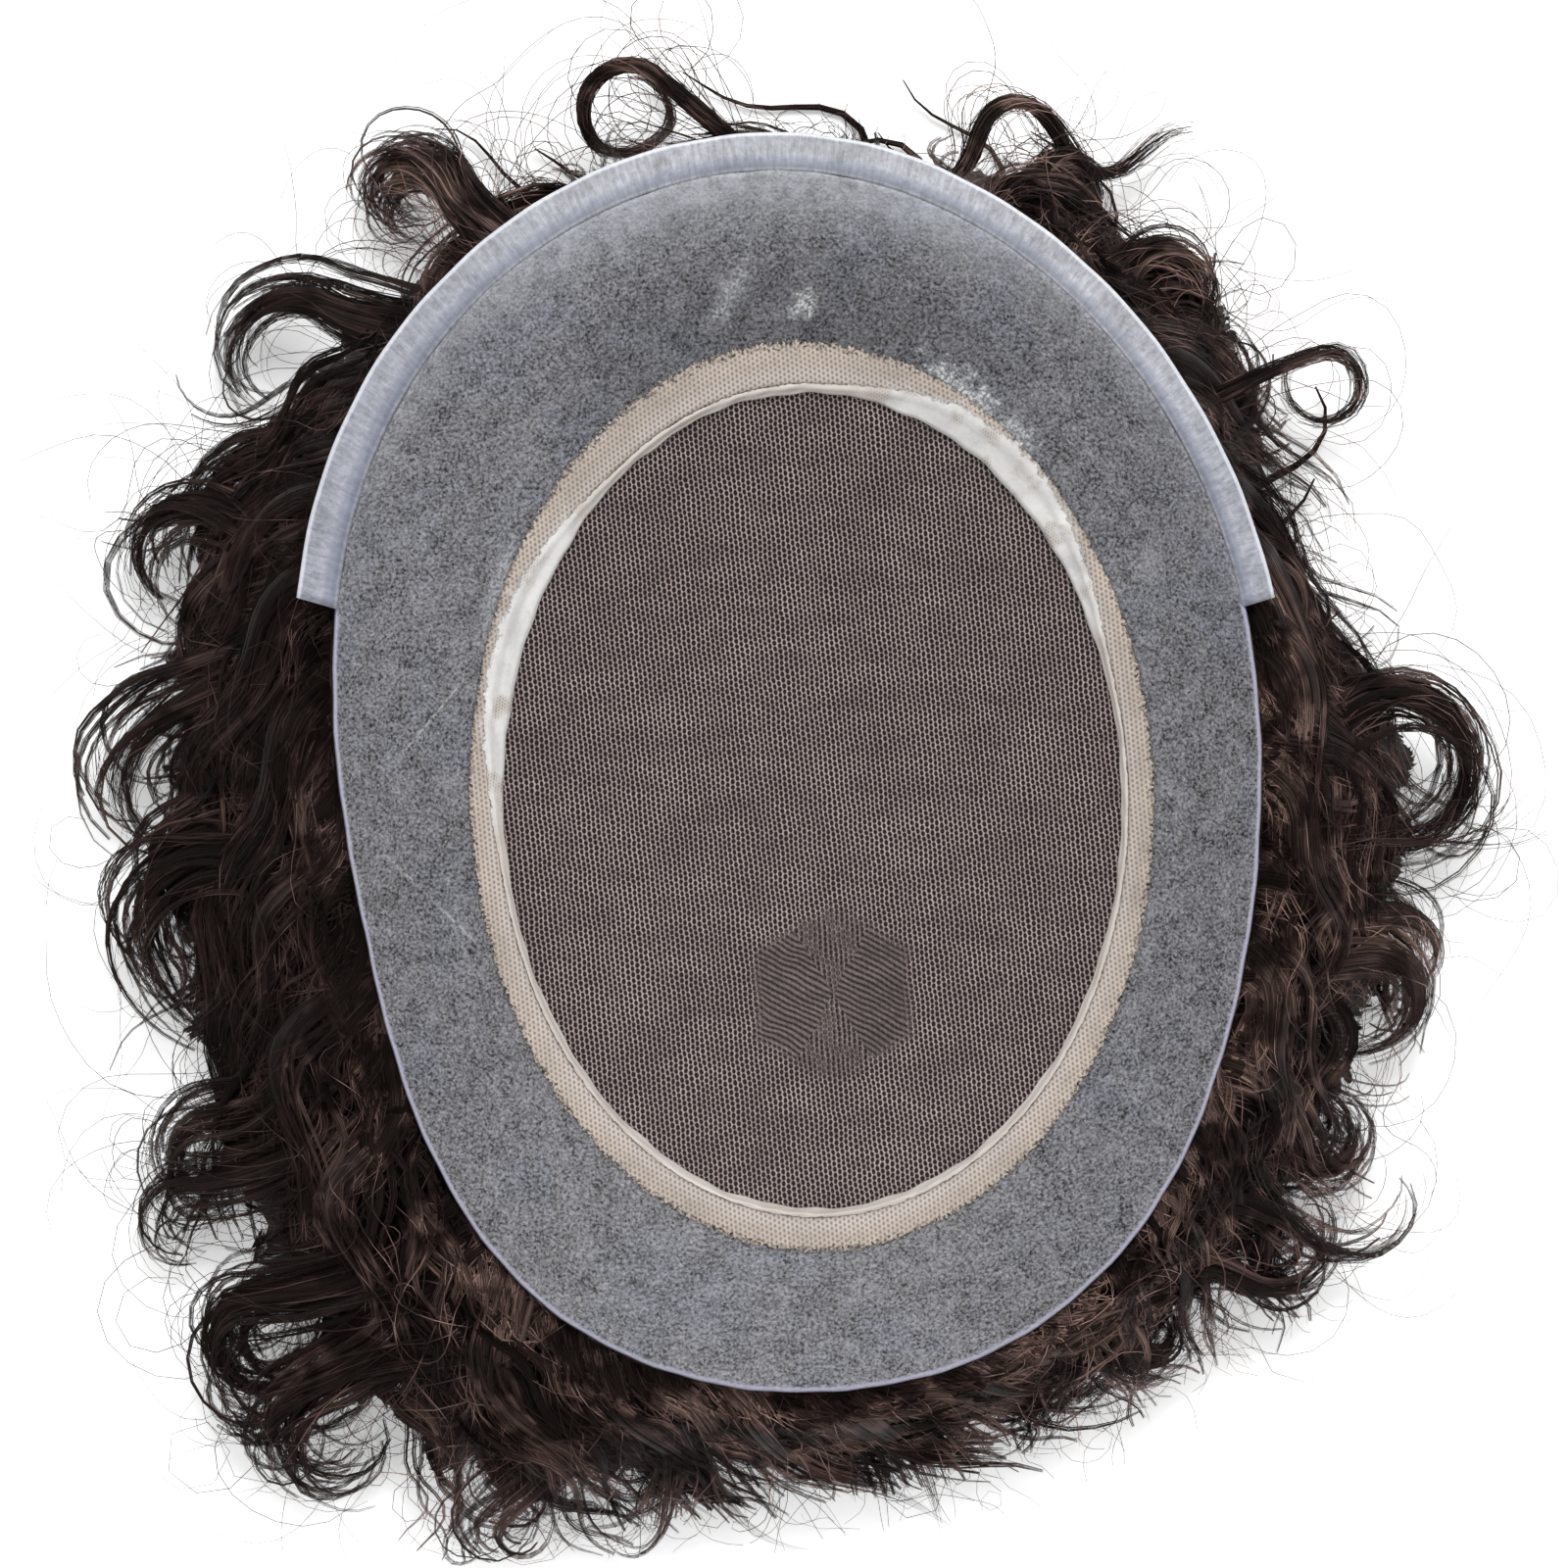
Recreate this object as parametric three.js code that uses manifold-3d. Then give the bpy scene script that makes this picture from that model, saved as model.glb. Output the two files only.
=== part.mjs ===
// Toupee hairpiece, lying hair side down with the hollow scalp side up.
// The front edge is towards +Y. All sizes are in millimetres.
//
// The base is a shallow cup: an open net in the middle, a thin skin round it, a clear lip along the
// front, and a cloth binding over the joint of net and skin with a cured seam coat along its inside.
// Curly hair hangs from the underside, flows out past the rim and comes down to the surface.

import * as THREE from 'three';
import { LoftGeometry } from 'three/addons/geometries/LoftGeometry.js';
import { mergeVertices } from 'three/addons/utils/BufferGeometryUtils.js';
import Module from 'manifold-3d';

const wasm = await Module();
wasm.setup();

// Base outline and cup
const BASE_HALF_WIDTH = 89.3;
const BASE_HALF_LENGTH = 117.6;
const CUP_DEPTH = 30;
const CUP_POWER = 2.2;
const RIM_WAVE = 1.2;
const RIM_WAVES_ROUND = 3;
const NET_SHIFT_X = 3.6;
const NET_SHIFT_Y = -3.4;

// Fullness of the rim past a plain ellipse: how far on average, and its waves round the rim, each with
// its height as a share of that and the angle of its first crest times its number
const RIM_SWELL = 1.6;
const RIM_SWELLS = [
  { waves: 1, share: 0.46, start: 43 },
  { waves: 2, share: 1.05, start: -107 },
  { waves: 3, share: 0.58, start: 39 },
  { waves: 4, share: 0.88, start: -166 },
  { waves: 5, share: 0.54, start: 77 },
];

// Sheets of the base: thickness, gap between pieces, and where each ends as a share of the rim
const SHEET = 1.0;
const GAP = 0.3;
const NET_EDGE = 0.735;
const NET_OPENING = 0.683;
const BINDING_OUTER = 0.754;
const COAT_WIDTH = 1.2;
const COAT_SMEAR = 3.4;
const LIP_WIDTH = 7.6;
const LIP_RIGHT_WIDTH = 5.8;
const LIP_FIRST_ANGLE = 15.5;
const LIP_LAST_ANGLE = 162.5;
const LIP_END_ROOM = 5;

// Hair: height of the base over the surface, and the body of hair round the rim
const HAIR_UNDER_NET = 14;
const CROWN_EDGE = 0.67;
const HAIR_REACH = 60;
const BED_SHARE = 0.76;
const BED_EDGE_HEIGHT = 2.5;
const BED_FOOT_SHARE = 0.93;
const LOCK_LENGTH = 100;
const LOCK_HALF_WIDTH = 12;
const LOCK_FLATNESS = 0.6;
const LOCK_SIDES = 6;
const LOCK_STATIONS = 6;
const DEGREES_PER_STATION = 45;
const PATH_STEPS_PER_STATION = 4;
const TIP_SHARE = 0.3;
const TAPER_POWER = 2.2;
const ROOT_COVER = 1.2;
const FLOOR_CLEARANCE = 0.4;

// Fineness of the base and the bed of hair
const TURNS = 56;
const NET_STATIONS = [0.16, 0.34, 0.5, 0.63];
const SKIN_STATIONS = [0.8, 0.87, 0.935];
const WEDGE_FACES = 6;
const SLOPE_TURN = 0.002;
const SLOPE_RUN = 0.2;

// The seam coat swells to a smear in two places: middle angle, half spread, share of the smear
const COAT_SWELLS = [
  { middle: 158, spread: 34, share: 0.9 },
  { middle: 50, spread: 38, share: 1.0 },
];

// How far the hair reaches past the rim, every 20 degrees round from the right-hand side, as a share
// of the longest reach
const REACH_SHARES = [
  0.78, 0.30, 0.57, 0.55, 0.27, 0.40, 0.45, 0.63, 0.83,
  0.77, 0.85, 0.97, 1.00, 0.43, 0.35, 0.43, 0.63, 0.70,
];

// Outer face of the bed of hair: share of the reach, height as a share of the rim's height
const BED_PROFILE = [
  { reach: 0.12, height: 0.9 },
  { reach: 0.42, height: 0.68 },
  { reach: 0.74, height: 0.4 },
  { reach: 0.94, height: 0.17 },
];

// Sectors of hair, each from one angle to the next
const SECTORS = [
  { name: 'hair_front', from: 50, to: 127, colour: 0x2b211d },
  { name: 'hair_left', from: 127, to: 216, colour: 0x241b18 },
  { name: 'hair_back', from: 216, to: 301, colour: 0x281f1b },
  { name: 'hair_right', from: 301, to: 410, colour: 0x2d231f },
];

// Locks of hair. Each leaves the rim at its angle, heads outwards turned by lean, sways from side to
// side and turns by curl over the last part of its length, from the share start on. root is a share
// of the rim's distance, length a share of the lock length, width a share of the lock half width.
const LOCKS = [
  // sector, angle, root, length, lean, sway, waves, phase, curl, start, width
  ['hair_front', 93, 1.0, 0.9, 20, 0, 0, 0, 400, 0.28, 0.45],
  ['hair_front', 112, 1.04, 0.46, 40, 0, 0, 0, 90, 0.1, 0.4],
  ['hair_front', 122, 1.0, 0.48, -15, 25, 1, 0, 120, 0.4, 0.4],
  ['hair_left', 132, 0.98, 0.74, 5, 20, 1, 0, 170, 0.5, 0.9],
  ['hair_left', 146, 0.98, 0.66, 10, 15, 1, 0, 150, 0.4, 1.1],
  ['hair_left', 152, 0.98, 0.8, 10, 35, 1, 90, 160, 0.38, 0.7],
  ['hair_left', 164, 0.98, 0.84, 5, 30, 1.2, 0, 180, 0.3, 0.65],
  ['hair_left', 176, 0.97, 0.8, 35, 30, 1.5, 90, 120, 0.5, 0.9],
  ['hair_left', 188, 0.97, 0.82, 8, 35, 1.2, 180, 180, 0.55, 0.6],
  ['hair_left', 199, 0.97, 0.84, 12, 25, 1.2, 0, 170, 0.55, 0.85],
  ['hair_left', 208, 0.97, 0.88, -10, 15, 1, 0, -220, 0.65, 0.75],
  ['hair_back', 222, 0.98, 1, -8, 20, 1, 90, 270, 0.5, 0.6],
  ['hair_back', 231, 0.98, 0.92, -34, 20, 1, 0, 60, 0.6, 0.9],
  ['hair_back', 240, 0.98, 0.96, -45, 20, 1.5, 90, -110, 0.65, 0.9],
  ['hair_back', 250, 0.98, 0.88, -48, 15, 1.5, 0, -30, 0.6, 0.85],
  ['hair_back', 263, 0.99, 0.72, -78, 12, 1.2, 0, 60, 0.6, 0.8],
  ['hair_back', 275, 0.99, 0.34, -60, 20, 1, 90, 130, 0.5, 0.7],
  ['hair_back', 286, 0.99, 0.48, 30, 25, 1, 0, -170, 0.4, 0.8],
  ['hair_back', 296, 0.98, 0.5, 20, 30, 1, 90, 150, 0.5, 0.9],
  ['hair_right', 309, 0.98, 0.6, 10, 30, 1, 0, -150, 0.5, 1],
  ['hair_right', 320, 0.98, 0.54, 0, 20, 1, 0, -90, 0.6, 0.5],
  ['hair_right', 330, 0.98, 0.6, -10, 35, 1, 90, 150, 0.5, 0.9],
  ['hair_right', 340, 0.98, 0.78, 5, 20, 1, 0, -230, 0.4, 0.5],
  ['hair_right', 350, 0.98, 0.58, 10, 30, 1, 180, -160, 0.5, 0.9],
  ['hair_right', 359, 0.98, 1.06, 28, 10, 0.5, 0, -300, 0.24, 0.5],
  ['hair_right', 5, 0.98, 0.46, -30, 15, 1, 0, -20, 0.5, 0.7],
  ['hair_right', 15, 0.98, 0.62, -70, 40, 1, 90, 60, 0.6, 0.9],
  ['hair_right', 27, 0.98, 0.58, -66, 20, 1, 90, -30, 0.5, 1],
  ['hair_right', 37, 0.98, 0.74, -22, 15, 1, 0, -330, 0.45, 0.35],
  ['hair_right', 46, 0.99, 0.66, 22, 10, 1, 0, -370, 0.2, 0.6],
  ['hair_front', 58, 1.0, 0.56, 30, 10, 1, 0, -300, 0.2, 0.4],
  ['hair_front', 71, 1.04, 0.4, -58, 30, 1, 0, 0, 0.5, 0.4],
  ['hair_front', 82, 1.04, 0.42, 68, 10, 1, 0, 20, 0.4, 0.45],
].map(([sector, angle, root, length, lean, sway, waves, phase, curl, start, width]) => (
  { sector, angle, root, length, lean, sway, waves, phase, curl, start, width }
));

const SEAT = HAIR_UNDER_NET + GAP + SHEET;
const MEAN_HALF = (BASE_HALF_WIDTH + BASE_HALF_LENGTH) / 2;
const CLEAR_TOP = 3 * (SEAT + CUP_DEPTH);

const radians = THREE.MathUtils.degToRad;

// How far the rim stands out past a plain ellipse at any angle
function rimSwell(turn) {
  return RIM_SWELL * RIM_SWELLS.reduce((sum, row) => (
    sum + row.share * Math.cos(row.waves * turn - radians(row.start))
  ), 1);
}

// A point on the top face of the base. share runs from 0 in the middle to 1 at the rim, and out
// carries on past the rim in millimetres.
function cupPoint(turn, share, out = 0) {
  const outer = THREE.MathUtils.smoothstep(share, BINDING_OUTER, 1);
  const swell = out + rimSwell(turn) * outer;
  const level = share + out / MEAN_HALF;
  const wave = RIM_WAVE * Math.sin(RIM_WAVES_ROUND * turn) * level ** 3;
  return new THREE.Vector3(
    NET_SHIFT_X * (1 - outer) + (BASE_HALF_WIDTH * share + swell) * Math.cos(turn),
    NET_SHIFT_Y * (1 - outer) + (BASE_HALF_LENGTH * share + swell) * Math.sin(turn),
    SEAT + CUP_DEPTH * level ** CUP_POWER + wave,
  );
}

// The same point moved down square to the face, so that every sheet keeps one thickness
function sheetPoint(turn, share, out, drop) {
  const round = cupPoint(turn + SLOPE_TURN, share, out).sub(cupPoint(turn - SLOPE_TURN, share, out));
  const across = cupPoint(turn, share, out + SLOPE_RUN).sub(cupPoint(turn, share, out - SLOPE_RUN));
  const normal = across.cross(round).normalize();
  return cupPoint(turn, share, out).addScaledVector(normal, -drop);
}

// A closed solid from a loft of sections
function solid(sections, caps) {
  const loft = new LoftGeometry(sections, { closed: true, capStart: caps, capEnd: caps });
  const shape = new THREE.BufferGeometry();
  shape.setAttribute('position', loft.getAttribute('position'));
  shape.setIndex(loft.getIndex());
  const merged = mergeVertices(shape, 1e-4);
  const position = merged.getAttribute('position').array;
  const index = Array.from(merged.getIndex().array);
  const triangles = [];
  for (let i = 0; i < index.length; i += 3) {
    const [a, b, c] = index.slice(i, i + 3);
    if (a !== b && b !== c && c !== a) {
      triangles.push(a, b, c);
    }
  }
  return new wasm.Manifold(new wasm.Mesh({
    numProp: 3,
    vertProperties: new Float32Array(position),
    triVerts: new Uint32Array(triangles),
  }));
}

function angles(from, to, count, closed) {
  const last = closed ? count : count - 1;
  return Array.from({ length: count }, (_, i) => from + (to - from) * i / last);
}

const ROUND = angles(0, 2 * Math.PI, TURNS, true);

// A ring or strip: the section given for each turn, swept round
function ring(sectionAt) {
  const sections = ROUND.map(sectionAt);
  return solid([...sections, sections[0]], false);
}

// Section of a sheet between two edges, through its stations, with a top and an underside
function sheetSection(turn, stations, top, bottom) {
  const upper = stations.map((spot) => sheetPoint(turn, spot.share, spot.out, top));
  const lower = stations.map((spot) => sheetPoint(turn, spot.share, spot.out, bottom));
  return [...upper, ...lower.reverse()];
}

function spots(shares) {
  return shares.map((share) => ({ share, out: 0 }));
}

// The rings of a dished face from its middle out, the first one drawn together to a point
function dishedFace(shares, drop) {
  const middle = cupPoint(0, 0);
  middle.z -= drop;
  const rings = shares.map((share) => ROUND.map((turn) => sheetPoint(turn, share, 0, drop)));
  return [ROUND.map(() => middle.clone()), ...rings];
}

// Net: a dished disc, its edge under the binding
function netSolid() {
  const shares = [...NET_STATIONS, NET_EDGE];
  return solid([...dishedFace(shares, SHEET), ...dishedFace(shares, 0).reverse()], false);
}

// Skin: the wide ring from the net to the rim
function skinSolid() {
  const inner = NET_EDGE + 1.5 * GAP / BASE_HALF_WIDTH;
  const shares = [inner, ...SKIN_STATIONS, 1];
  return ring((turn) => sheetSection(turn, spots(shares), 0, SHEET));
}

// Width of the seam coat, with a smooth swell at each smear
function coatWidth(turn) {
  const degrees = THREE.MathUtils.radToDeg(turn);
  const swell = COAT_SWELLS.reduce((sum, row) => {
    const away = Math.min(1, Math.abs(degrees - row.middle) / row.spread);
    return sum + row.share * COAT_SMEAR * (0.5 + 0.5 * Math.cos(Math.PI * away));
  }, 0);
  return COAT_WIDTH + swell;
}

// Seam coat: the cured coating round the net opening
function coatSolid() {
  return ring((turn) => {
    const outer = NET_OPENING + coatWidth(turn) / BASE_HALF_WIDTH;
    return sheetSection(turn, spots([NET_OPENING, outer]), -GAP - SHEET, -GAP);
  });
}

// Binding: the cloth ring over the joint, from the seam coat outwards
function bindingSolid() {
  return ring((turn) => {
    const inner = NET_OPENING + (coatWidth(turn) + GAP) / BASE_HALF_WIDTH;
    return sheetSection(turn, spots([inner, BINDING_OUTER]), -GAP - SHEET, -GAP);
  });
}

function lipWidth(turn) {
  const side = 0.5 + 0.5 * Math.cos(turn);
  return THREE.MathUtils.lerp(LIP_WIDTH, LIP_RIGHT_WIDTH, side);
}

// Front lip: the clear strip outside the rim, from one cut end to the other
function lipSolid() {
  const count = Math.round(TURNS * (LIP_LAST_ANGLE - LIP_FIRST_ANGLE) / 360) + 1;
  const turns = angles(radians(LIP_FIRST_ANGLE), radians(LIP_LAST_ANGLE), count, false);
  const sections = turns.map((turn) => {
    const across = [{ share: 1, out: GAP }, { share: 1, out: lipWidth(turn) }];
    return sheetSection(turn, across, 0, SHEET);
  });
  return solid(sections, true);
}

// Reach of the hair past the rim at any angle, smooth between the listed values
function hairReach(turn) {
  const count = REACH_SHARES.length;
  const place = THREE.MathUtils.euclideanModulo(turn / (2 * Math.PI), 1) * count;
  const first = Math.floor(place) % count;
  const mix = THREE.MathUtils.smoothstep(place - Math.floor(place), 0, 1);
  return HAIR_REACH * THREE.MathUtils.lerp(REACH_SHARES[first], REACH_SHARES[(first + 1) % count], mix);
}

const HAIR_DROP = SHEET + GAP;

// Crown: the hair under the net, flat where it rests on the surface
function crownSolid() {
  const shares = [...NET_STATIONS, CROWN_EDGE - GAP / BASE_HALF_WIDTH];
  const top = dishedFace(shares, HAIR_DROP);
  const foot = (level) => top[level].map((point) => point.clone().setZ(0));
  return solid([foot(0), foot(2), foot(shares.length), ...top.reverse()], false);
}

// Bed: the body of hair from the crown out past the rim
function bedSolid() {
  return ring((turn) => {
    const shares = [CROWN_EDGE, NET_EDGE, ...SKIN_STATIONS, 1];
    const top = shares.map((share) => sheetPoint(turn, share, 0, HAIR_DROP));
    const rim = top[top.length - 1];
    const outwards = new THREE.Vector3(
      Math.cos(turn) / BASE_HALF_WIDTH,
      Math.sin(turn) / BASE_HALF_LENGTH,
      0,
    ).normalize();
    const reach = BED_SHARE * hairReach(turn) - rimSwell(turn);
    const place = (out, height) => rim.clone().addScaledVector(outwards, out).setZ(height);
    const face = BED_PROFILE.map((row) => place(reach * row.reach, rim.z * row.height));
    const edge = place(reach, BED_EDGE_HEIGHT);
    const foot = place(reach * BED_FOOT_SHARE, 0);
    return [top[0].clone().setZ(0), ...top, ...face, edge, foot];
  });
}

// A lock: a flattened, tapering tube along a curling path
function lockSolid(lock, extra) {
  const turn = radians(lock.angle);
  const root = cupPoint(turn, 1, 0);
  root.x -= rimSwell(turn) * Math.cos(turn);
  root.y -= rimSwell(turn) * Math.sin(turn);
  const place = new THREE.Vector3(root.x * lock.root, root.y * lock.root, 0);
  const outwards = Math.atan2(Math.sin(turn) / BASE_HALF_LENGTH, Math.cos(turn) / BASE_HALF_WIDTH);
  const stations = LOCK_STATIONS + Math.round(Math.abs(lock.curl) / DEGREES_PER_STATION);
  const steps = PATH_STEPS_PER_STATION * stations;
  const sections = [];
  for (let i = 0; i <= steps; i += 1) {
    const along = i / steps;
    const late = Math.max(0, (along - lock.start) / (1 - lock.start));
    const sway = lock.sway * Math.sin(radians(360 * lock.waves * along + lock.phase));
    const heading = outwards + radians(lock.lean + sway + lock.curl * late);
    const half = LOCK_HALF_WIDTH * lock.width * (1 - (1 - TIP_SHARE) * along ** TAPER_POWER);
    const tall = half * LOCK_FLATNESS;
    if (i % PATH_STEPS_PER_STATION === 0) {
      const low = FLOOR_CLEARANCE + tall;
      const high = root.z - HAIR_DROP - ROOT_COVER - LOCK_HALF_WIDTH * lock.width * LOCK_FLATNESS;
      const fall = (along + THREE.MathUtils.smoothstep(along, 0, 1)) / 2;
      const height = THREE.MathUtils.lerp(high, low, fall);
      const centre = place.clone().setZ(height);
      const side = new THREE.Vector3(-Math.sin(heading), Math.cos(heading), 0);
      const up = new THREE.Vector3(0, 0, 1);
      sections.push(Array.from({ length: LOCK_SIDES }, (_, k) => {
        const round = 2 * Math.PI * k / LOCK_SIDES;
        return centre.clone()
          .addScaledVector(side, (half + extra) * Math.cos(round))
          .addScaledVector(up, (tall + extra) * Math.sin(round));
      }));
    }
    place.x += LOCK_LENGTH * lock.length / steps * Math.cos(heading);
    place.y += LOCK_LENGTH * lock.length / steps * Math.sin(heading);
  }
  return solid(sections, true);
}

// Room kept clear for the base: everything from just under the skin and the lip upwards
function baseRoom() {
  const outAt = (turn) => {
    const degrees = THREE.MathUtils.radToDeg(turn);
    const front = degrees > LIP_FIRST_ANGLE - LIP_END_ROOM && degrees < LIP_LAST_ANGLE + LIP_END_ROOM;
    return front ? lipWidth(turn) + GAP : GAP;
  };
  const under = dishedFace([...NET_STATIONS, NET_EDGE, ...SKIN_STATIONS, 1], HAIR_DROP);
  const edge = ROUND.map((turn) => sheetPoint(turn, 1, outAt(turn), HAIR_DROP));
  const lid = edge.map((point) => point.clone().setZ(CLEAR_TOP));
  const peak = ROUND.map(() => new THREE.Vector3(0, 0, CLEAR_TOP));
  return solid([...under, edge, lid, peak], false);
}

// Wedge of space from one angle to another, drawn in by half a gap at each face
function wedge(from, to) {
  const far = 4 * BASE_HALF_LENGTH;
  const arc = angles(radians(from), radians(to), WEDGE_FACES, false).map((turn) => (
    new THREE.Vector2(BASE_HALF_WIDTH * Math.cos(turn), BASE_HALF_LENGTH * Math.sin(turn)).setLength(far)
  ));
  const middle = arc[0].clone().add(arc[WEDGE_FACES - 1]).setLength(GAP);
  const outline = [middle, ...arc.map((point) => point.clone().add(middle))];
  const level = (height) => outline.map((point) => new THREE.Vector3(point.x, point.y, height));
  return solid([level(-GAP), level(CLEAR_TOP)], true);
}

function largest(body) {
  const parts = body.decompose();
  return parts.reduce((best, part) => (part.volume() > best.volume() ? part : best));
}

function joined(bodies) {
  return bodies.reduce((sum, body) => sum.add(body));
}

// Each sector is its wedge of the bed with its own locks, and gives way to the locks before it
function hairSolids() {
  const bed = bedSolid();
  const room = baseRoom();
  const locksOf = (sector, extra) => joined(
    LOCKS.filter((lock) => lock.sector === sector.name).map((lock) => lockSolid(lock, extra)),
  );
  return SECTORS.map((sector, i) => {
    let body = bed.intersect(wedge(sector.from, sector.to));
    SECTORS.forEach((other) => {
      if (other !== sector) {
        body = body.subtract(locksOf(other, GAP));
      }
    });
    body = body.add(locksOf(sector, 0));
    SECTORS.slice(0, i).forEach((other) => {
      body = body.subtract(locksOf(other, GAP));
    });
    return { name: sector.name, body: largest(body.subtract(room)), colour: sector.colour };
  });
}

const group = new THREE.Group();

function addNode(name, body, colour, roughness) {
  const mesh = body.getMesh();
  const geometry = new THREE.BufferGeometry();
  geometry.setAttribute('position', new THREE.Float32BufferAttribute(mesh.vertProperties, 3));
  geometry.setIndex(new THREE.Uint32BufferAttribute(mesh.triVerts, 1));
  geometry.computeVertexNormals();
  const material = new THREE.MeshStandardMaterial({ color: colour, roughness, metalness: 0 });
  const node = new THREE.Mesh(geometry, material);
  node.name = name;
  group.add(node);
}

addNode('lace_centre', netSolid(), 0x8f8580, 0.8);
addNode('skin_perimeter', skinSolid(), 0x9a9da3, 0.45);
addNode('front_lip', lipSolid(), 0xb4bac6, 0.35);
addNode('net_binding', bindingSolid(), 0xc9c2ba, 0.8);
addNode('seam_coat', coatSolid(), 0xe6e8ea, 0.4);
addNode('hair_crown', crownSolid(), 0x261d1a, 0.5);
hairSolids().forEach((hair) => addNode(hair.name, hair.body, hair.colour, 0.5));

// The origin is the middle of the whole piece, at the surface that it rests on
const box = new THREE.Box3().setFromObject(group, true);
group.position.set(-(box.min.x + box.max.x) / 2, -(box.min.y + box.max.y) / 2, -box.min.z);

export default group;
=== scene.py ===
"""Toupee hairpiece lying hair side down, its hollow scalp side up, as a studio picture from above.

The base is a shallow cup. Every sheet of it is worked out from one surface: share runs from 0 in the
middle of the net to 1 at the rim, turn runs round, and the height grows as a power of the share.
Hair leaves the rim in locks, and each hair is a tube along a path that heads outwards, sways and
then curls.
"""

import math

import bpy
import numpy as np
from bpy.props import FloatProperty, FloatVectorProperty, IntProperty, PointerProperty
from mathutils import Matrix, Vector


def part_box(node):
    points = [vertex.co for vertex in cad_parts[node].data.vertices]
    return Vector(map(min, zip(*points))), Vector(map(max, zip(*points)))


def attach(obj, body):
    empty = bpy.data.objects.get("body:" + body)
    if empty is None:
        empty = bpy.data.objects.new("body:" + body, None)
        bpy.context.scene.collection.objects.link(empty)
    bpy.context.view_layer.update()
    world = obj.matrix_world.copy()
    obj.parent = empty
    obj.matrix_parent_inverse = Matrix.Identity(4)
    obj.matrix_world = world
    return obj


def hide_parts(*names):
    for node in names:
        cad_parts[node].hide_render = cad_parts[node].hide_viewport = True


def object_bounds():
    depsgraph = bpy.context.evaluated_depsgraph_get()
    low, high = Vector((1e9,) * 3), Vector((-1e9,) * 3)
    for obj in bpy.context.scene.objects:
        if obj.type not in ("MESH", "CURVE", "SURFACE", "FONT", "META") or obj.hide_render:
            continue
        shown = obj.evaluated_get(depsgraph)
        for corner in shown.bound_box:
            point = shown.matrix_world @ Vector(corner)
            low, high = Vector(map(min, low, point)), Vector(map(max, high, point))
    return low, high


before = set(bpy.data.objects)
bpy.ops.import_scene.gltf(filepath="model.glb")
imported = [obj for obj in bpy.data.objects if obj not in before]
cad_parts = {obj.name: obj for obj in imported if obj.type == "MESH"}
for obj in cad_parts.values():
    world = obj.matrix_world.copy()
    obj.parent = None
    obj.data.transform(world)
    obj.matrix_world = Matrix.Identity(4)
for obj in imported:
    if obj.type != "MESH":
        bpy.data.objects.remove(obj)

bl_info = {
    "name": "Toupee hairpiece",
    "version": (1, 0, 0),
    "blender": (4, 5, 0),
    "location": "View3D > Sidebar > Toupee",
    "description": "Net and skin base with a clear lip, curly hair underneath, and a studio stage",
    "category": "Add Mesh",
}

CAD_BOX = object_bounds()
NET_LOW, NET_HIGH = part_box("lace_centre")
NET_SHIFT = (0.0036, -0.0034)
CENTRE = ((NET_LOW[0] + NET_HIGH[0]) / 2 - NET_SHIFT[0], (NET_LOW[1] + NET_HIGH[1]) / 2 - NET_SHIFT[1])
SEED = 41
TURN = 2 * math.pi

# Where the net opening, the joint and the binding end, as shares of the rim
NET_OPENING = 0.683
NET_EDGE = 0.735
BINDING_OUTER = 0.754

# Fullness of the rim past a plain ellipse: waves round it, each with its height as a share of the
# average fullness and the angle of its first crest times its number
RIM_SWELLS = [(1, 0.46, 43), (2, 1.05, -107), (3, 0.58, 39), (4, 0.88, -166), (5, 0.54, 77)]

# Seam coat: plain width, width added where it is smeared, and the smears' middles and spreads in degrees
COAT_WIDTH = 0.0012
COAT_SMEAR = 0.0034
COAT_SWELLS = [(158, 34, 0.9), (50, 38, 1.0)]

# Cut ends of the lip, in degrees round the base from the right-hand side
LIP_ANGLES = (15.5, 162.5)

# Crown whorl in the net, in millimetres right and forward of the base's middle
WHORL_PLACE = (6.7, -41.6)

# Milky smears on the skin: place in millimetres, half size, turn, patchiness and strength
SKIN_SMEARS = [
    ((35.0, 75.5), (0.0110, 0.0046, 1.0), 0.75, 3.0, 0.95),
    ((45.0, 67.0), (0.0070, 0.0036, 1.0), 0.9, 2.6, 0.70),
    ((4.3, 93.5), (0.0034, 0.0034, 1.0), 0.1, 2.6, 0.80),
    ((-10.0, 96.0), (0.0100, 0.0030, 1.0), -1.0, 3.2, 0.45),
    ((-57.0, 40.0), (0.0150, 0.0020, 1.0), -1.2, 2.6, 0.40),
    ((-45.0, 50.5), (0.0040, 0.0026, 1.0), -0.8, 2.6, 0.55),
    ((70.0, 40.0), (0.0030, 0.0080, 1.0), 0.3, 3.0, 0.22),
]

# Thin scratches on the skin: two ends in millimetres, and width
SKIN_SCRATCHES = [
    ((-46.3, 46.6), (-30.7, 61.4), 0.0005),
    ((-80.1, -11.4), (-63.5, -28.9), 0.0004),
    ((-76.0, 8.0), (-64.0, 22.0), 0.0003),
]

# How far the hair reaches past the rim, every 20 degrees from the right-hand side, as a share
REACH_SHARES = np.array([
    0.78, 0.30, 0.57, 0.55, 0.27, 0.40, 0.45, 0.63, 0.83,
    0.77, 0.85, 0.97, 1.00, 0.43, 0.35, 0.43, 0.63, 0.70,
])

# Outer face of the body of hair: share of its reach, height as a share of the rim's height
BED_PROFILE = np.array([(0.0, 0.97), (0.12, 0.9), (0.42, 0.68), (0.74, 0.4), (0.94, 0.17), (1.0, 0.0)])

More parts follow.
